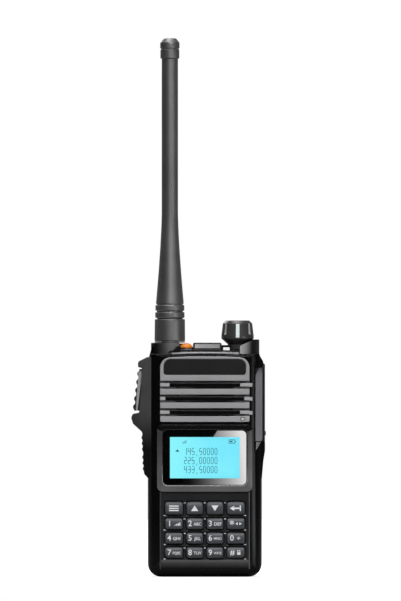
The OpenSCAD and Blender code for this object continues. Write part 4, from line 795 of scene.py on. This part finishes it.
class RADIO_OT_display(bpy.types.Operator):
    """Display: frame, window, lit face and its dots"""

    bl_idname = "radio.display"
    bl_label = "Display"

    columns, lines = 128, 64
    rows = ("145.50000", "225.00000", "433.50000")
    # Each digit as the strokes it lights: top, upper left, upper right, middle, lower left, lower right, foot
    strokes = {
        "0": "tlrkdf", "1": "rd", "2": "trmkf", "3": "trmdf", "4": "lrmd", "5": "tlmdf",
        "6": "tlmkdf", "7": "trd", "8": "tlrmkdf", "9": "tlrmdf",
    }

    def execute(self, context):
        low, high = corners("lcd_lens")
        border_x, border_z = 3.6, 3.5
        opening = (low.z + border_z, high.z - border_z, high.x - border_x)
        self.rim(low, high)
        self.window(*opening)
        self.lit_face()
        self.dots(*opening)
        return {"FINISHED"}

    def rim(self, lens_low, lens_high):
        """Frame round the window, with a sloping rim in a pale grey that is partly a painted reflection, and
        a painted glint on its inner edge.
        """
        bezel = merged("lcd_bezel")
        low, high = corners("lcd_bezel")
        front, edge, slope = low.y, lens_high.x + 1, setting("bezel_edge")

        def outer(p):
            return abs(p.y - front) < 0.02 and (
                abs(p.x) > edge and p.z < high.z - 2.5 or p.z < lens_low.z - 1)

        def near_lens(p):
            return abs(p.x) < edge - 0.4 and lens_low.z - 0.6 < p.z < lens_high.z + 0.6

        coat(bezel, finish("display frame"))
        triangles(bezel)
        shift(bezel, outer, (0, slope, 0))
        # Painted reflection on the sloping rim, with painted shade towards the top
        coat(bezel, finish("display rim"), lambda m, n: m.y < front + slope and -0.98 < n.y < -0.5)
        soften(bezel, 0.35, 3)
        # Painted glint on the inner edge of the frame, fading to painted shade upwards
        glint = finish("display edge", fade=("Z", lens_low.z + 12, lens_low.z, 0.03))
        coat(bezel, glint, lambda m, n: m.y < front + 0.4 and -0.97 < n.y < -0.2 and near_lens(m))
        fitted(bezel, "lcd_bezel")

    def window(self, foot, head, half):
        """Window: a clear opening with a polished black border."""
        lens = merged("lcd_lens")
        front = corners("lcd_lens")[0].y
        round_off(lens, lambda p: p.y < front + 0.02, 0.3, 3)
        edit_all(lens)
        for place, across in (((half, 0, 0), (1, 0, 0)), ((-half, 0, 0), (1, 0, 0)),
                              ((0, 0, foot), (0, 0, 1)), ((0, 0, head), (0, 0, 1))):
            bpy.ops.mesh.select_all(action="SELECT")
            bpy.ops.mesh.bisect(plane_co=Vector(place) * MM, plane_no=across)
        done()
        coat(lens, window_border())
        coat(lens, clear_window(), lambda m, n: abs(n.y) > 0.9 and abs(m.x) < half and foot < m.z < head)
        smooth(lens, 5)
        fitted(lens, "lcd_lens")

    def lit_face(self):
        """Display module: a metal tray round the lit face."""
        module = merged("lcd_module")
        face = corners("lcd_module")[0].y
        coat(module, finish("display tray"))
        pick_faces(module, lambda m, n: n.y < -0.9 and m.y < face + 0.1)
        bpy.ops.mesh.inset(thickness=1.2 * MM)
        done()
        coat(module, backlight(), lambda m, n: n.y < -0.9 and m.y < face + 0.1 and abs(m.x) < 5)
        soften(module, setting("fine_edge"))
        fitted(module, "lcd_module")

    def dots(self, foot, head, half):
        """Dark dots of the display, cut out of a fine grid just in front of the lit face."""
        wide, tall, lit = 2 * half, head - foot, self.lit_cells()
        bpy.ops.mesh.primitive_grid_add(x_subdivisions=self.columns, y_subdivisions=self.lines, size=MM)
        at = (0, corners("lcd_module")[0].y - 0.06, (foot + head) / 2)
        dots = placed(bpy.context.object, "display_dots", at, UPRIGHT, (wide, tall, 1))
        pick_faces(dots, lambda m, n: (int((m.x + half) / wide * self.columns),
                                       int((head - m.z) / tall * self.lines)) not in lit)
        bpy.ops.mesh.delete(type="FACE")
        bpy.ops.mesh.select_all(action="SELECT")
        bpy.ops.mesh.inset(thickness=0.004 * MM, use_individual=True)
        bpy.ops.mesh.select_all(action="INVERT")
        bpy.ops.mesh.delete(type="FACE")
        done()
        modifier(dots, "SOLIDIFY", thickness=0.04 * MM, offset=-1)
        added(dots, finish("display ink"))

    def lit_cells(self):
        """Cells of the dot field that are dark: columns from the left, lines from the top."""
        wide, tall, pitch, left, top, row_pitch = 5, 11, 7, 26, 17, 14
        right, foot, half = wide - 1, tall - 1, tall // 2
        shapes = {
            "t": [(c, 0) for c in range(wide)],
            "m": [(c, half) for c in range(wide)],
            "f": [(c, foot) for c in range(wide)],
            "l": [(0, r) for r in range(half + 1)],
            "r": [(right, r) for r in range(half + 1)],
            "k": [(0, r) for r in range(half, tall)],
            "d": [(right, r) for r in range(half, tall)],
        }
        point = {(2, foot), (2, tall), (1, tall + 1)}
        cells = set()
        for row, figures in enumerate(self.rows):
            for place, figure in enumerate(figures):
                lit = point
                if figure != ".":
                    strokes = self.strokes[figure]
                    ends = {(c, r) for c in (0, right)
                            for r, stroke in ((0, "t"), (foot, "f")) if stroke in strokes}
                    lit = {cell for stroke in strokes for cell in shapes[stroke]} - ends
                cells |= {(left + place * pitch + c, top + row * row_pitch + r) for c, r in lit}
        # pointer at the first row, a signal mark and a battery mark
        cells |= {(13 + c, 22 - r) for r in range(4) for c in range(r - 3, 4 - r)}
        cells |= {(23 + 2 * bar, 9 - r) for bar in range(4) for r in range(2 + bar)}
        cells |= {(c, r) for c in range(108, 120) for r in range(4, 10) if c in (108, 119) or r in (4, 9)}
        cells |= {(120, 6), (120, 7)} | {(c, r) for c in range(110, 115) for r in range(6, 8)}
        return cells


class RADIO_OT_keys(bpy.types.Operator):
    """The sixteen keys, each with a rounded front"""

    bl_idname = "radio.keys"
    bl_label = "Keys"

    def execute(self, context):
        for place, node in enumerate(KEYS):
            piece = merged(node)
            low, high = corners(node)
            row = "key row " + str(place // KEYS_IN_ROW + 1)
            # Painted shade: each key's colour darkens towards its lower edge, where 30 % of it is left
            coat(piece, finish(row, "key", fade=("Z", low.z, high.z, 0.3)))
            crown = (0, setting("key_crown"), 0)
            bowed(piece, 2, (low.z + high.z) / 2, (high.z - low.z) / 2, crown, low.y)
            pick_faces(piece, lambda m, n: n.y < -0.7 and m.y < low.y + 0.6)
            bpy.ops.mesh.region_to_loop()
            bpy.ops.mesh.bevel(offset=setting("key_edge") * MM, segments=4, clamp_overlap=False)
            done()
            smooth(piece, 40)
            fitted(piece, node)
        return {"FINISHED"}


class RADIO_OT_legends(bpy.types.Operator):
    """White figures, letters and signs printed on the keys"""

    bl_idname = "radio.legends"
    bl_label = "Key legends"

    letters = {"key_2": "ABC", "key_3": "DEF", "key_4": "GHI", "key_5": "JKL", "key_6": "MNO",
               "key_7": "PQRS", "key_8": "TUV", "key_9": "WXYZ"}
    # Figure of a key with signs, its share of the usual size, and its place right of and above the middle
    figures = {"key_1": ("1", 1, -2.1, 0), "key_star": ("*", 1.3, -1.9, -0.5),
               "key_hash": ("#", 1, -1.7, 0), "key_0": ("0", 1, -1.9, 0)}
    # Signs of a key: shape, width, height, and place right of and above the middle
    signs = {
        "key_menu": [("bar", 4.8, 0.6, 0, up) for up in (-1.1, 0, 1.1)],
        "key_up": [("up", 3.6, 2.8, 0, 0)],
        "key_down": [("down", 3.6, 2.8, 0, 0)],
        "key_exit": [("left", 2.2, 2.6, -1.5, 0), ("bar", 2.6, 0.8, 0.6, 0), ("bar", 0.6, 2.8, 2.3, 0)],
        "key_1": [("bar", 0.5, 0.5 + 0.4 * k, 0.6 + 0.8 * k, -0.75 + 0.2 * k) for k in range(4)],
        "key_star": [("left", 1.2, 1.5, 0.6, 0), ("right", 1.2, 1.5, 2.2, 0)],
        "key_hash": [("bar", 1.7, 1.3, 1.5, -0.4), ("bar", 0.35, 0.9, 0.95, 0.6),
                     ("bar", 0.35, 0.9, 2.05, 0.6), ("bar", 1.45, 0.35, 1.5, 1.1)],
        "key_0": [("bar", 1.6, 0.45, 1.4, 0), ("bar", 0.45, 1.6, 1.4, 0)],
    }
    # Number of sides of each shape, and how many quarter turns it is turned
    shapes = {"bar": (4, 0.5), "up": (3, 0), "left": (3, 1), "down": (3, 2), "right": (3, -1)}

    def execute(self, context):
        for node in KEYS:
            low, high = corners(node)
            middle, fore = (low + high) / 2, low.y + 0.4 * setting("print_t")
            name = node + "_legend"
            legend = joined([placed(part, name, (middle.x + right, fore, middle.z + up), UPRIGHT)
                             for part, right, up in self.parts(node)], name)
            legend.data.materials.clear()
            added(legend, finish("white print"), BODY_OF[node])
        return {"FINISHED"}

    def parts(self, node):
        """The parts of one legend, each with its place right of and above the middle of the key."""
        if node in self.letters:
            return [(self.words(node[-1], setting("digit_h")), -2.3, 0),
                    (self.words(self.letters[node], setting("letter_h"), 3.9), 1.4, -0.25)]
        made = [(self.plate(shape, wide, tall), right, up)
                for shape, wide, tall, right, up in self.signs[node]]
        if node in self.figures:
            figure, share, right, up = self.figures[node]
            made.append((self.words(figure, share * setting("digit_h")), right, up))
        return made

    def words(self, text, tall, widest=None):
        """Upright words as a thin solid, made narrower where they are wider than allowed."""
        weight = 0.012
        bpy.ops.object.text_add()
        letters = bpy.context.object.data
        letters.body, letters.size, letters.offset = text, tall * MM, weight * tall * MM
        letters.extrude, letters.resolution_u = setting("print_t") / 2 * MM, 4
        letters.align_x = letters.align_y = "CENTER"
        only(bpy.context.object)
        bpy.ops.object.convert(target="MESH")
        made = bpy.context.object
        places = [vertex.co.x for vertex in made.data.vertices]
        share = min(1, widest * MM / (max(places) - min(places))) if widest else 1
        edit_all(made)
        bpy.ops.mesh.remove_doubles(threshold=1e-6)
        bpy.ops.transform.resize(value=(share, share ** 0.5, 1), center_override=(0, 0, 0))
        done()
        return made

    def plate(self, shape, wide, tall):
        """A thin plate with three or four sides."""
        sides, quarters = self.shapes[shape]
        bpy.ops.mesh.primitive_circle_add(vertices=sides, radius=1, fill_type="NGON",
                                          rotation=(0, 0, quarters * QUARTER_TURN))
        made = bpy.context.object
        only(made)
        bpy.ops.object.transform_apply(location=False, rotation=True, scale=False)
        made.dimensions = (wide * MM, tall * MM, 0)
        bpy.ops.object.transform_apply(location=False, rotation=False, scale=True)
        heights = [vertex.co.y for vertex in made.data.vertices]
        edit_all(made)
        bpy.ops.transform.translate(value=(0, -(min(heights) + max(heights)) / 2, 0))
        done()
        modifier(made, "SOLIDIFY", thickness=setting("print_t") * MM, offset=0)
        return made


class RADIO_OT_side_controls(bpy.types.Operator):
    """Side frame, talk lever, side keys and socket flap"""

    bl_idname = "radio.side_controls"
    bl_label = "Side controls"

    def execute(self, context):
        # The finish of the side frame paints shade towards its lower end
        reworked("side_frame", "side grey", 0.3)
        for node in ("side_key_upper", "side_key_lower"):
            reworked(node, "side rubber", 0.25)
        self.lever()
        self.flap()
        return {"FINISHED"}

    def lever(self):
        """Talk lever: dark, with a pale strip down its front face that paints a highlight."""
        piece = merged("ptt_lever")
        coat(piece, finish("side rubber"))
        left, right = ((-34.35, 86), (-33.5, 101)), ((-33.3, 86), (-31.45, 101))
        for line in (left, right):
            slit(piece, lambda m, n: n.y < -0.9, line)
        # Painted highlight: the pale strip between the two lines
        coat(piece, finish("lever strip"),
             lambda m, n: n.y < -0.9 and right_of(m, left) and not right_of(m, right))
        soften(piece, 0.2)
        fitted(piece, "ptt_lever")

    def flap(self):
        """Socket flap: a pale leaf painted as a highlight on its sloping front face, the rest dark."""
        piece = merged("jack_cover")
        coat(piece, finish("flap rubber"))
        head = ((25.5, 101.5), (27.35, 105.5))

        def front(m, n):
            return n.y < -0.5 and n.x > 0.3 or n.y < -0.9

        for line in (HIGHLIGHT_LEAF_RIGHT, HIGHLIGHT_LEAF_FOOT, head):
            slit(piece, front, line)
        coat(piece, finish("flap leaf"), lambda m, n: front(m, n) and not right_of(m, HIGHLIGHT_LEAF_RIGHT)
             and not right_of(m, HIGHLIGHT_LEAF_FOOT) and right_of(m, head))
        soften(piece, 0.25)
        fitted(piece, "jack_cover")


class RADIO_OT_top_controls(bpy.types.Operator):
    """Top cover, status lamp, alarm button with its ring, and the volume knob with its stripe"""

    bl_idname = "radio.top_controls"
    bl_label = "Top controls"

    def execute(self, context):
        self.cover()
        reworked("status_led", "lamp lens", 0.2)
        self.hood()
        self.lip()
        self.button()
        self.knob()
        return {"FINISHED"}

    def cover(self):
        """Top cover, with a pale window sunk into the front of its raised block: a painted highlight, darker
        towards the right as painted shade.
        """
        cover = merged("top_cover")
        top, block_x, window_x, narrow, short, sunk = corners("top_cover")[1].z, 1.3, 1.35, 0.935, 0.72, 0.12
        coat(cover, finish("cover dark"))
        # Painted highlight: the pale window, darker towards the right as painted shade
        coat(cover, finish("top window"))
        pick_faces(cover, lambda m, n: n.y < -0.85 and n.z < 0.4
                   and m.z > top - 3.6 and abs(m.x - block_x) < 5)
        bpy.ops.mesh.inset(thickness=0.5 * MM)
        cover.active_material_index = 1
        bpy.ops.object.material_slot_assign()
        done()
        faces = [face for face in cover.data.polygons if face.select]
        points = [cover.data.vertices[i].co for face in faces for i in face.vertices]
        head = max(points, key=lambda point: point.z)
        centre = (window_x * MM, head.y, head.z)
        bpy.ops.object.mode_set(mode="EDIT")
        bpy.ops.transform.resize(value=(narrow, short, short), center_override=centre)
        bpy.ops.transform.translate(value=(0, sunk * MM, 0))
        done()
        soften(cover, 0.25)
        fitted(cover, "top_cover")

    def hood(self):
        """Small hood round the status lamp, open to the front."""
        low, high = corners("status_led")
        x, y, z = (low.x + high.x) / 2, low.y, high.z
        hood = block("lamp_hood", (x - 2.8, y - 0.15, z - 2.6), (x + 2.5, y + 2.95, z + 0.6))
        pick_faces(hood, lambda m, n: n.y < -0.9)
        bpy.ops.mesh.inset(thickness=0.5 * MM)
        bpy.ops.transform.resize(value=(0.74, 1, 0.7), center_override=Vector((x, y, z - 1.9)) * MM)
        bpy.ops.mesh.extrude_region_move(TRANSFORM_OT_translate={"value": (0, 2.6 * MM, 0)})
        done()
        trim(hood, finish("cover dark"), 0.12)

    def lip(self):
        """Bowed lip along the front of the deck with a polished slope, its gloss real and its pale grey a
        painted highlight, and the rib and wall by the button.
        """
        front, deck = corners("front_housing")[0].y, corners("top_cover")[0].z
        half, fore, rear, step, head = 18.7, front + 0.55, front + 2, deck + 1.1, deck + 2
        slope, lean = 0.65, 1.4
        lip = block("deck_lip", (-half, fore, deck - 1), (half, rear, step))
        round_off(lip, lambda p: p.z > step - 0.1 and p.y < fore + 0.1, slope, 1)
        pick_faces(lip, lambda m, n: n.z > 0.9)
        bpy.ops.mesh.extrude_region_move(TRANSFORM_OT_translate={"value": (0, 0, (head - step) * MM)})
        done()
        for side in (-1, 1):
            shift(lip, lambda p: side * p.x > half - 0.1 and p.z > head - 0.1, (-side * lean, 0, 0))
        bowed(lip, 0, 0, half, (0, 0, -setting("lip_bow")))
        left, right, top, top_w = -18.4, -12.2, deck + 3.9, 1.4
        rib = block("button_rib", (left, rear - 0.9, deck - 0.5), (right, rear, top))
        shift(rib, lambda p: p.x < left + 0.1 and p.z > top - 0.1, (right - left - top_w, 0, 0))
        wall = joined([block("high_wall", (-13, -5.5, deck), (-9.3, -3.5, deck + 5.2)),
                       block("low_wall", (-9.4, -5.4, deck), (-5.5, -3.6, deck + 3.4))], "button_wall")
        for piece in (lip, rib, wall):
            modifier(piece, "BEVEL", width=setting("fine_edge") * MM, segments=2, limit_method="ANGLE")
            trim(piece, finish("cover dark"), degrees=32)
        ends = [((x, deck - 1), (x, deck + 2)) for x in (-16.5, 16.9)]
        for end in ends:
            slit(lip, lambda m, n: n.y < -0.2 and n.z > 0.2, end)
        # Painted highlight: the slope is pale only between the two ends
        coat(lip, finish("lip polish"), lambda m, n: n.y < -0.2 and n.z > 0.2 and m.z < step
             and right_of(m, ends[0]) and not right_of(m, ends[1]))

    def button(self):
        """Alarm button with a full dome, and the satin ring round it, whose pale grey paints a highlight."""
        low, high = corners("alarm_button")
        x, y = ((low + high) / 2).xy
        seat, hole_r, ring_t, fuller = corners("status_led")[0].z + 1.7, 2.7, 0.55, 1.14
        button = merged("alarm_button")
        coat(button, finish("alarm orange"))
        stretch(button, (fuller, fuller, 1), (x, y, high.z), lambda p: p.z > seat + 0.6)
        soften(button, setting("fine_edge"))
        fitted(button, "alarm_button")
        bpy.ops.mesh.primitive_circle_add(vertices=64, radius=hole_r * MM, fill_type="NOTHING")
        ring = placed(bpy.context.object, "alarm_ring", (x, y, seat))
        edit_all(ring)
        bpy.ops.mesh.extrude_edges_move()
        wider = 1 + setting("ring_w") / hole_r
        bpy.ops.transform.resize(value=(wider, wider, 1), center_override=Vector((x, y, seat)) * MM)
        done()
        modifier(ring, "SOLIDIFY", thickness=ring_t * MM, offset=1)
        edit_all(ring)
        bpy.ops.mesh.normals_make_consistent(inside=False)
        done()
        trim(ring, finish("ring satin"), setting("fine_edge"), 3)

    def knob(self):
        """Volume knob with pale flutes that paint highlight streaks, and the stripe that marks its setting.
        """
        low, high = corners("volume_knob")
        middle, top, stripe_h = (low + high) / 2, high.z, 6.8
        knob = merged("volume_knob")
        coat(knob, finish("knob black"))

        def pale_streak_mask(m, n):
            skin = high.x - middle.x - 0.12 - 0.75 * (m.z - top + 8) / 6.5
            out = math.hypot(m.x - middle.x, m.y - middle.y)
            return 5 < out < skin and top - 7 < m.z < top - 1.5 and abs(n.z) < 0.5

        # Painted highlights on the flutes
        coat(knob, finish("flute pale"), pale_streak_mask)
        soften(knob, setting("fine_edge"))
        fitted(knob, "volume_knob")
        bpy.ops.mesh.primitive_grid_add(x_subdivisions=6, y_subdivisions=24, size=MM)
        stripe = placed(bpy.context.object, "knob_stripe", (middle.x, low.y - 3, top - 5.1), UPRIGHT,
                        (setting("stripe_w"), stripe_h, 1))
        modifier(stripe, "SHRINKWRAP", target=knob, wrap_method="PROJECT", use_project_y=True,
                 use_positive_direction=True, use_negative_direction=True, offset=0.02 * MM)
        modifier(stripe, "SOLIDIFY", thickness=0.1 * MM, offset=1)
        trim(stripe, finish("stripe white"), body="knob")


class RADIO_OT_antenna(bpy.types.Operator):
    """Antenna: base, sheath, cap and seal"""

    bl_idname = "radio.antenna"
    bl_label = "Antenna"

    def execute(self, context):
        for node in ("antenna_base", "antenna_sheath", "antenna_cap"):
            reworked(node, "antenna rubber", 0.12)
        self.seal()
        return {"FINISHED"}

    def seal(self):
        """Seal under the collar of the antenna, as wide as the collar."""
        seal = merged("antenna_seal")
        low, high = corners("antenna_seal")
        collar_low, collar_high = corners("antenna_base")
        share = (collar_high.x - collar_low.x) / (high.x - low.x)
        stretch(seal, (share, share, 1), (low + high) / 2)
        coat(seal, finish("antenna rubber"))
        soften(seal, 0.12)
        fitted(seal, "antenna_seal")


class RADIO_OT_back(bpy.types.Operator):
    """Chassis, battery and their fastenings"""

    bl_idname = "radio.back"
    bl_label = "Back"

    def execute(self, context):
        reworked("rear_chassis", "back black", 0.3)
        for node in ("battery_case", "battery_cover"):
            reworked(node, "back black", 0.4)
        reworked("battery_hook", "back black", 0.2)
        reworked("chassis_screws", "bright steel", 0.1)
        self.gasket()
        return {"FINISHED"}

    def gasket(self):
        """Thin rubber seal on the front of the battery, along both sides and across the foot."""
        low, high = corners("battery_case")
        side, wide, fore, rear, foot, top = high.x - 1.6, 0.8, low.y - 0.2, low.y + 0.4, 0.6, high.z - 0.6
        bars = [block("seal_bar", (x - wide / 2, fore, foot), (x + wide / 2, rear, top))
                for x in (-side, side)]
        bars.append(block("seal_bar", (-side, fore, foot), (side, rear, foot + wide)))
        trim(joined(bars, "battery_gasket"), finish("side rubber"), 0.05, body="battery")


class RADIO_OT_clip(bpy.types.Operator):
    """Belt clip with its bracket and screws"""

    bl_idname = "radio.clip"
    bl_label = "Belt clip"

    def execute(self, context):
        reworked("belt_clip", "clip black", 0.4)
        reworked("clip_bracket", "back black", 0.3)
        reworked("clip_screws", "bright steel", 0.1)
        return {"FINISHED"}


class RADIO_OT_inside(bpy.types.Operator):
    """Finishes of the inner pieces, pins and contacts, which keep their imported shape"""

    bl_idname = "radio.inside"
    bl_label = "Inside"

    pieces = {
        "grey silicone": ("keypad_mat", "side_switches"),
        "circuit board": ("main_board",),
        "speaker basket": ("speaker",),
        "white print": ("microphone",),
        "socket black": ("jack_block",),
        "cell wrap": ("battery_cells",),
        "bright steel": ("volume_pot", "pot_shaft", "clip_pin", "clip_spring", "ptt_pin"),
        "gilt brass": (
            "antenna_plug", "antenna_core", "antenna_socket", "supply_contacts", "battery_contacts",
        ),
    }

    def execute(self, context):
        for name, nodes in self.pieces.items():
            for node in nodes:
                frame["nodes"][node].data.materials[0] = finish(name)
        return {"FINISHED"}


class RADIO_OT_stage(bpy.types.Operator):
    """Pale floor, soft lights, white surroundings and the camera"""

    bl_idname = "radio.stage"
    bl_label = "Stage"

    # Where the lamps aim, and the place, width and height of each lamp, in metres
    aim = (0, 0, 0.1)
    lamps = {
        "key": ((0.22, -1.25, 1.0), 0.45, 0.35),
        "top": ((-0.1, 0.1, 1.4), 1.0, 0.6),
        "back": ((-0.5, 1.3, 0.9), 0.8, 0.6),
        "right": ((0.95, -0.95, -0.06), 0.5, 0.2),
    }

    def execute(self, context):
        stage = context.scene.radio_stage
        self.floor(stage.floor)
        self.room(stage.fill)
        for name, (at, wide, tall) in self.lamps.items():
            bpy.ops.object.light_add(type="AREA", location=at)
            lamp = context.object
            lamp.name = lamp.data.name = name + "_light"
            lamp.data.shape = "RECTANGLE"
            lamp.data.size, lamp.data.size_y = wide, tall
            lamp.data.energy = getattr(stage, name + "_power")
            lamp.rotation_euler = (Vector(self.aim) - Vector(at)).to_track_quat("-Z", "Y").to_euler()
        eye = Vector((-2.15, -4000, 138.25))
        bpy.ops.object.camera_add(location=eye * MM, rotation=UPRIGHT)
        camera = context.object
        camera.data.sensor_fit = "VERTICAL"
        camera.data.sensor_height = 36
        camera.data.lens = 477.75
        context.scene.camera = camera
        self.card(stage.gleam, eye)
        context.scene.view_settings.view_transform = "Standard"
        return {"FINISHED"}

    def seen_rays(self, tree):
        """One for the rays of the camera and those that pass through a clear surface, zero for others."""
        path = add_node(tree, "LightPath")
        camera, clear = (path.outputs["Is " + kind + " Ray"] for kind in ("Camera", "Transmission"))
        return worked_out(tree, "Math", "MAXIMUM", camera, clear)

    def floor(self, colour):
        """Pale floor that keeps the shadow of the radio."""
        bpy.ops.object.select_all(action="DESELECT")
        bpy.ops.mesh.primitive_circle_add(vertices=96, radius=0.6, fill_type="NGON")
        floor = placed(bpy.context.object, "floor", (0, 440, -0.1))
        made, tree, shader, place = start_finish("pale floor")
        grain = spread(tree, noise(tree, place, 30, 3), 0, 1)
        tone = mixed(tree, grain, scaled(colour, 0.98), scaled(colour, 1))
        fill(tree, shader, Base_Color=tone, Roughness=0.8, Specular_IOR_Level=0.2,
             Emission_Color=(1, 1, 1, 1), Emission_Strength=spread(tree, self.seen_rays(tree), 0, 0.85, 0, 1))
        coat(floor, made)

    def room(self, strength):
        """Surroundings: white to look at, dim as a light, and for gloss dark in front and paler behind."""
        world = bpy.context.scene.world = bpy.data.worlds.new("white room")
        world.use_nodes = True
        tree = world.node_tree
        direction = add_node(tree, "TexCoord").outputs["Generated"]
        gleam = spread(tree, along(tree, direction, "Y"), 0, 0.2, -0.3, 0.9)
        glossy = add_node(tree, "LightPath").outputs["Is Glossy Ray"]
        given = mixed(tree, glossy, strength, gleam, "FLOAT")
        fill(tree, tree.nodes["Background"], Color=(1, 1, 1, 1),
             Strength=mixed(tree, self.seen_rays(tree), given, 1, "FLOAT"))

    def card(self, gleam, eye):
        """Pale card in front of the radio, seen only as the gleam on the border of the display window."""
        depth, window, tilt = -900, corners("lcd_lens")[0].y, 0.13
        share = (depth - window) / (eye.y - window)

        def mirrored(x, z):
            """Place on the card that shows at a place of the window."""
            return Vector((x + share * (x - eye.x), depth, z + share * (z - eye.z)))

        def reach(x):
            """How far along the fade a place at half the window's height lies, in metres."""
            place = mirrored(x, 59.75)
            return (place.x + tilt * place.z) * MM

        low, high = mirrored(-15, 44), mirrored(24, 76)
        bpy.ops.mesh.primitive_plane_add(size=MM)
        card = placed(bpy.context.object, "gleam_card", (low + high) / 2, (-QUARTER_TURN, 0, 0),
                      (high.x - low.x, high.z - low.z, 1))
        first, second = mirrored(-12, 46), mirrored(6.5, 73.5)
        across = Vector((second.z - first.z, 0, first.x - second.x)).normalized()
        edit_all(card)
        bpy.ops.mesh.bisect(plane_co=first * MM, plane_no=across, clear_inner=True)
        done()
        made, tree, shader, place = start_finish("gleam card")
        measure = worked_out(tree, "VectorMath", "DOT_PRODUCT", place, (1, 0, tilt))
        fade = spread(tree, measure, 0, 1, reach(-10.9), reach(19.4))
        squared = worked_out(tree, "Math", "MULTIPLY", fade, fade)
        fill(tree, shader, Base_Color=(0, 0, 0, 1), Emission_Color=(1, 1, 1, 1),
             Emission_Strength=spread(tree, squared, 0, gleam, 0, 1))
        coat(card, made)
        card.visible_camera = False


class RADIO_PT_panel(bpy.types.Panel):
    """Lists the sizes, finishes and steps of the radio"""

    bl_idname = "RADIO_PT_panel"
    bl_label = "Handheld radio"
    bl_space_type = "VIEW_3D"
    bl_region_type = "UI"
    bl_category = "Radio"

    def draw(self, context):
        for title, (name, group) in zip(("Sizes", "Finishes", "Stage"), GROUPS):
            box = self.layout.box()
            box.label(text=title)
            for value in group.__annotations__:
                box.prop(getattr(context.scene, name), value)
        for step in STEPS:
            self.layout.operator(step.bl_idname)


GROUPS = (("radio_sizes", RadioSizes), ("radio_finishes", RadioFinishes), ("radio_stage", RadioStage))
STEPS = (
    RADIO_OT_housing, RADIO_OT_grille, RADIO_OT_display, RADIO_OT_keys, RADIO_OT_legends,
    RADIO_OT_side_controls, RADIO_OT_top_controls, RADIO_OT_antenna, RADIO_OT_back, RADIO_OT_clip,
    RADIO_OT_inside, RADIO_OT_stage,
)


def register():
    for name, group in GROUPS:
        bpy.utils.register_class(group)
        setattr(bpy.types.Scene, name, PointerProperty(type=group))
    for step in (*STEPS, RADIO_PT_panel):
        bpy.utils.register_class(step)


def unregister():
    for step in (RADIO_PT_panel, *reversed(STEPS)):
        bpy.utils.unregister_class(step)
    for name, group in GROUPS:
        delattr(bpy.types.Scene, name)
        bpy.utils.unregister_class(group)


def main():
    """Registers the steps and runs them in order."""
    register()
    for step in STEPS:
        group, name = step.bl_idname.split(".")
        getattr(getattr(bpy.ops, group), name)()


if __name__ == "__main__":
    main()
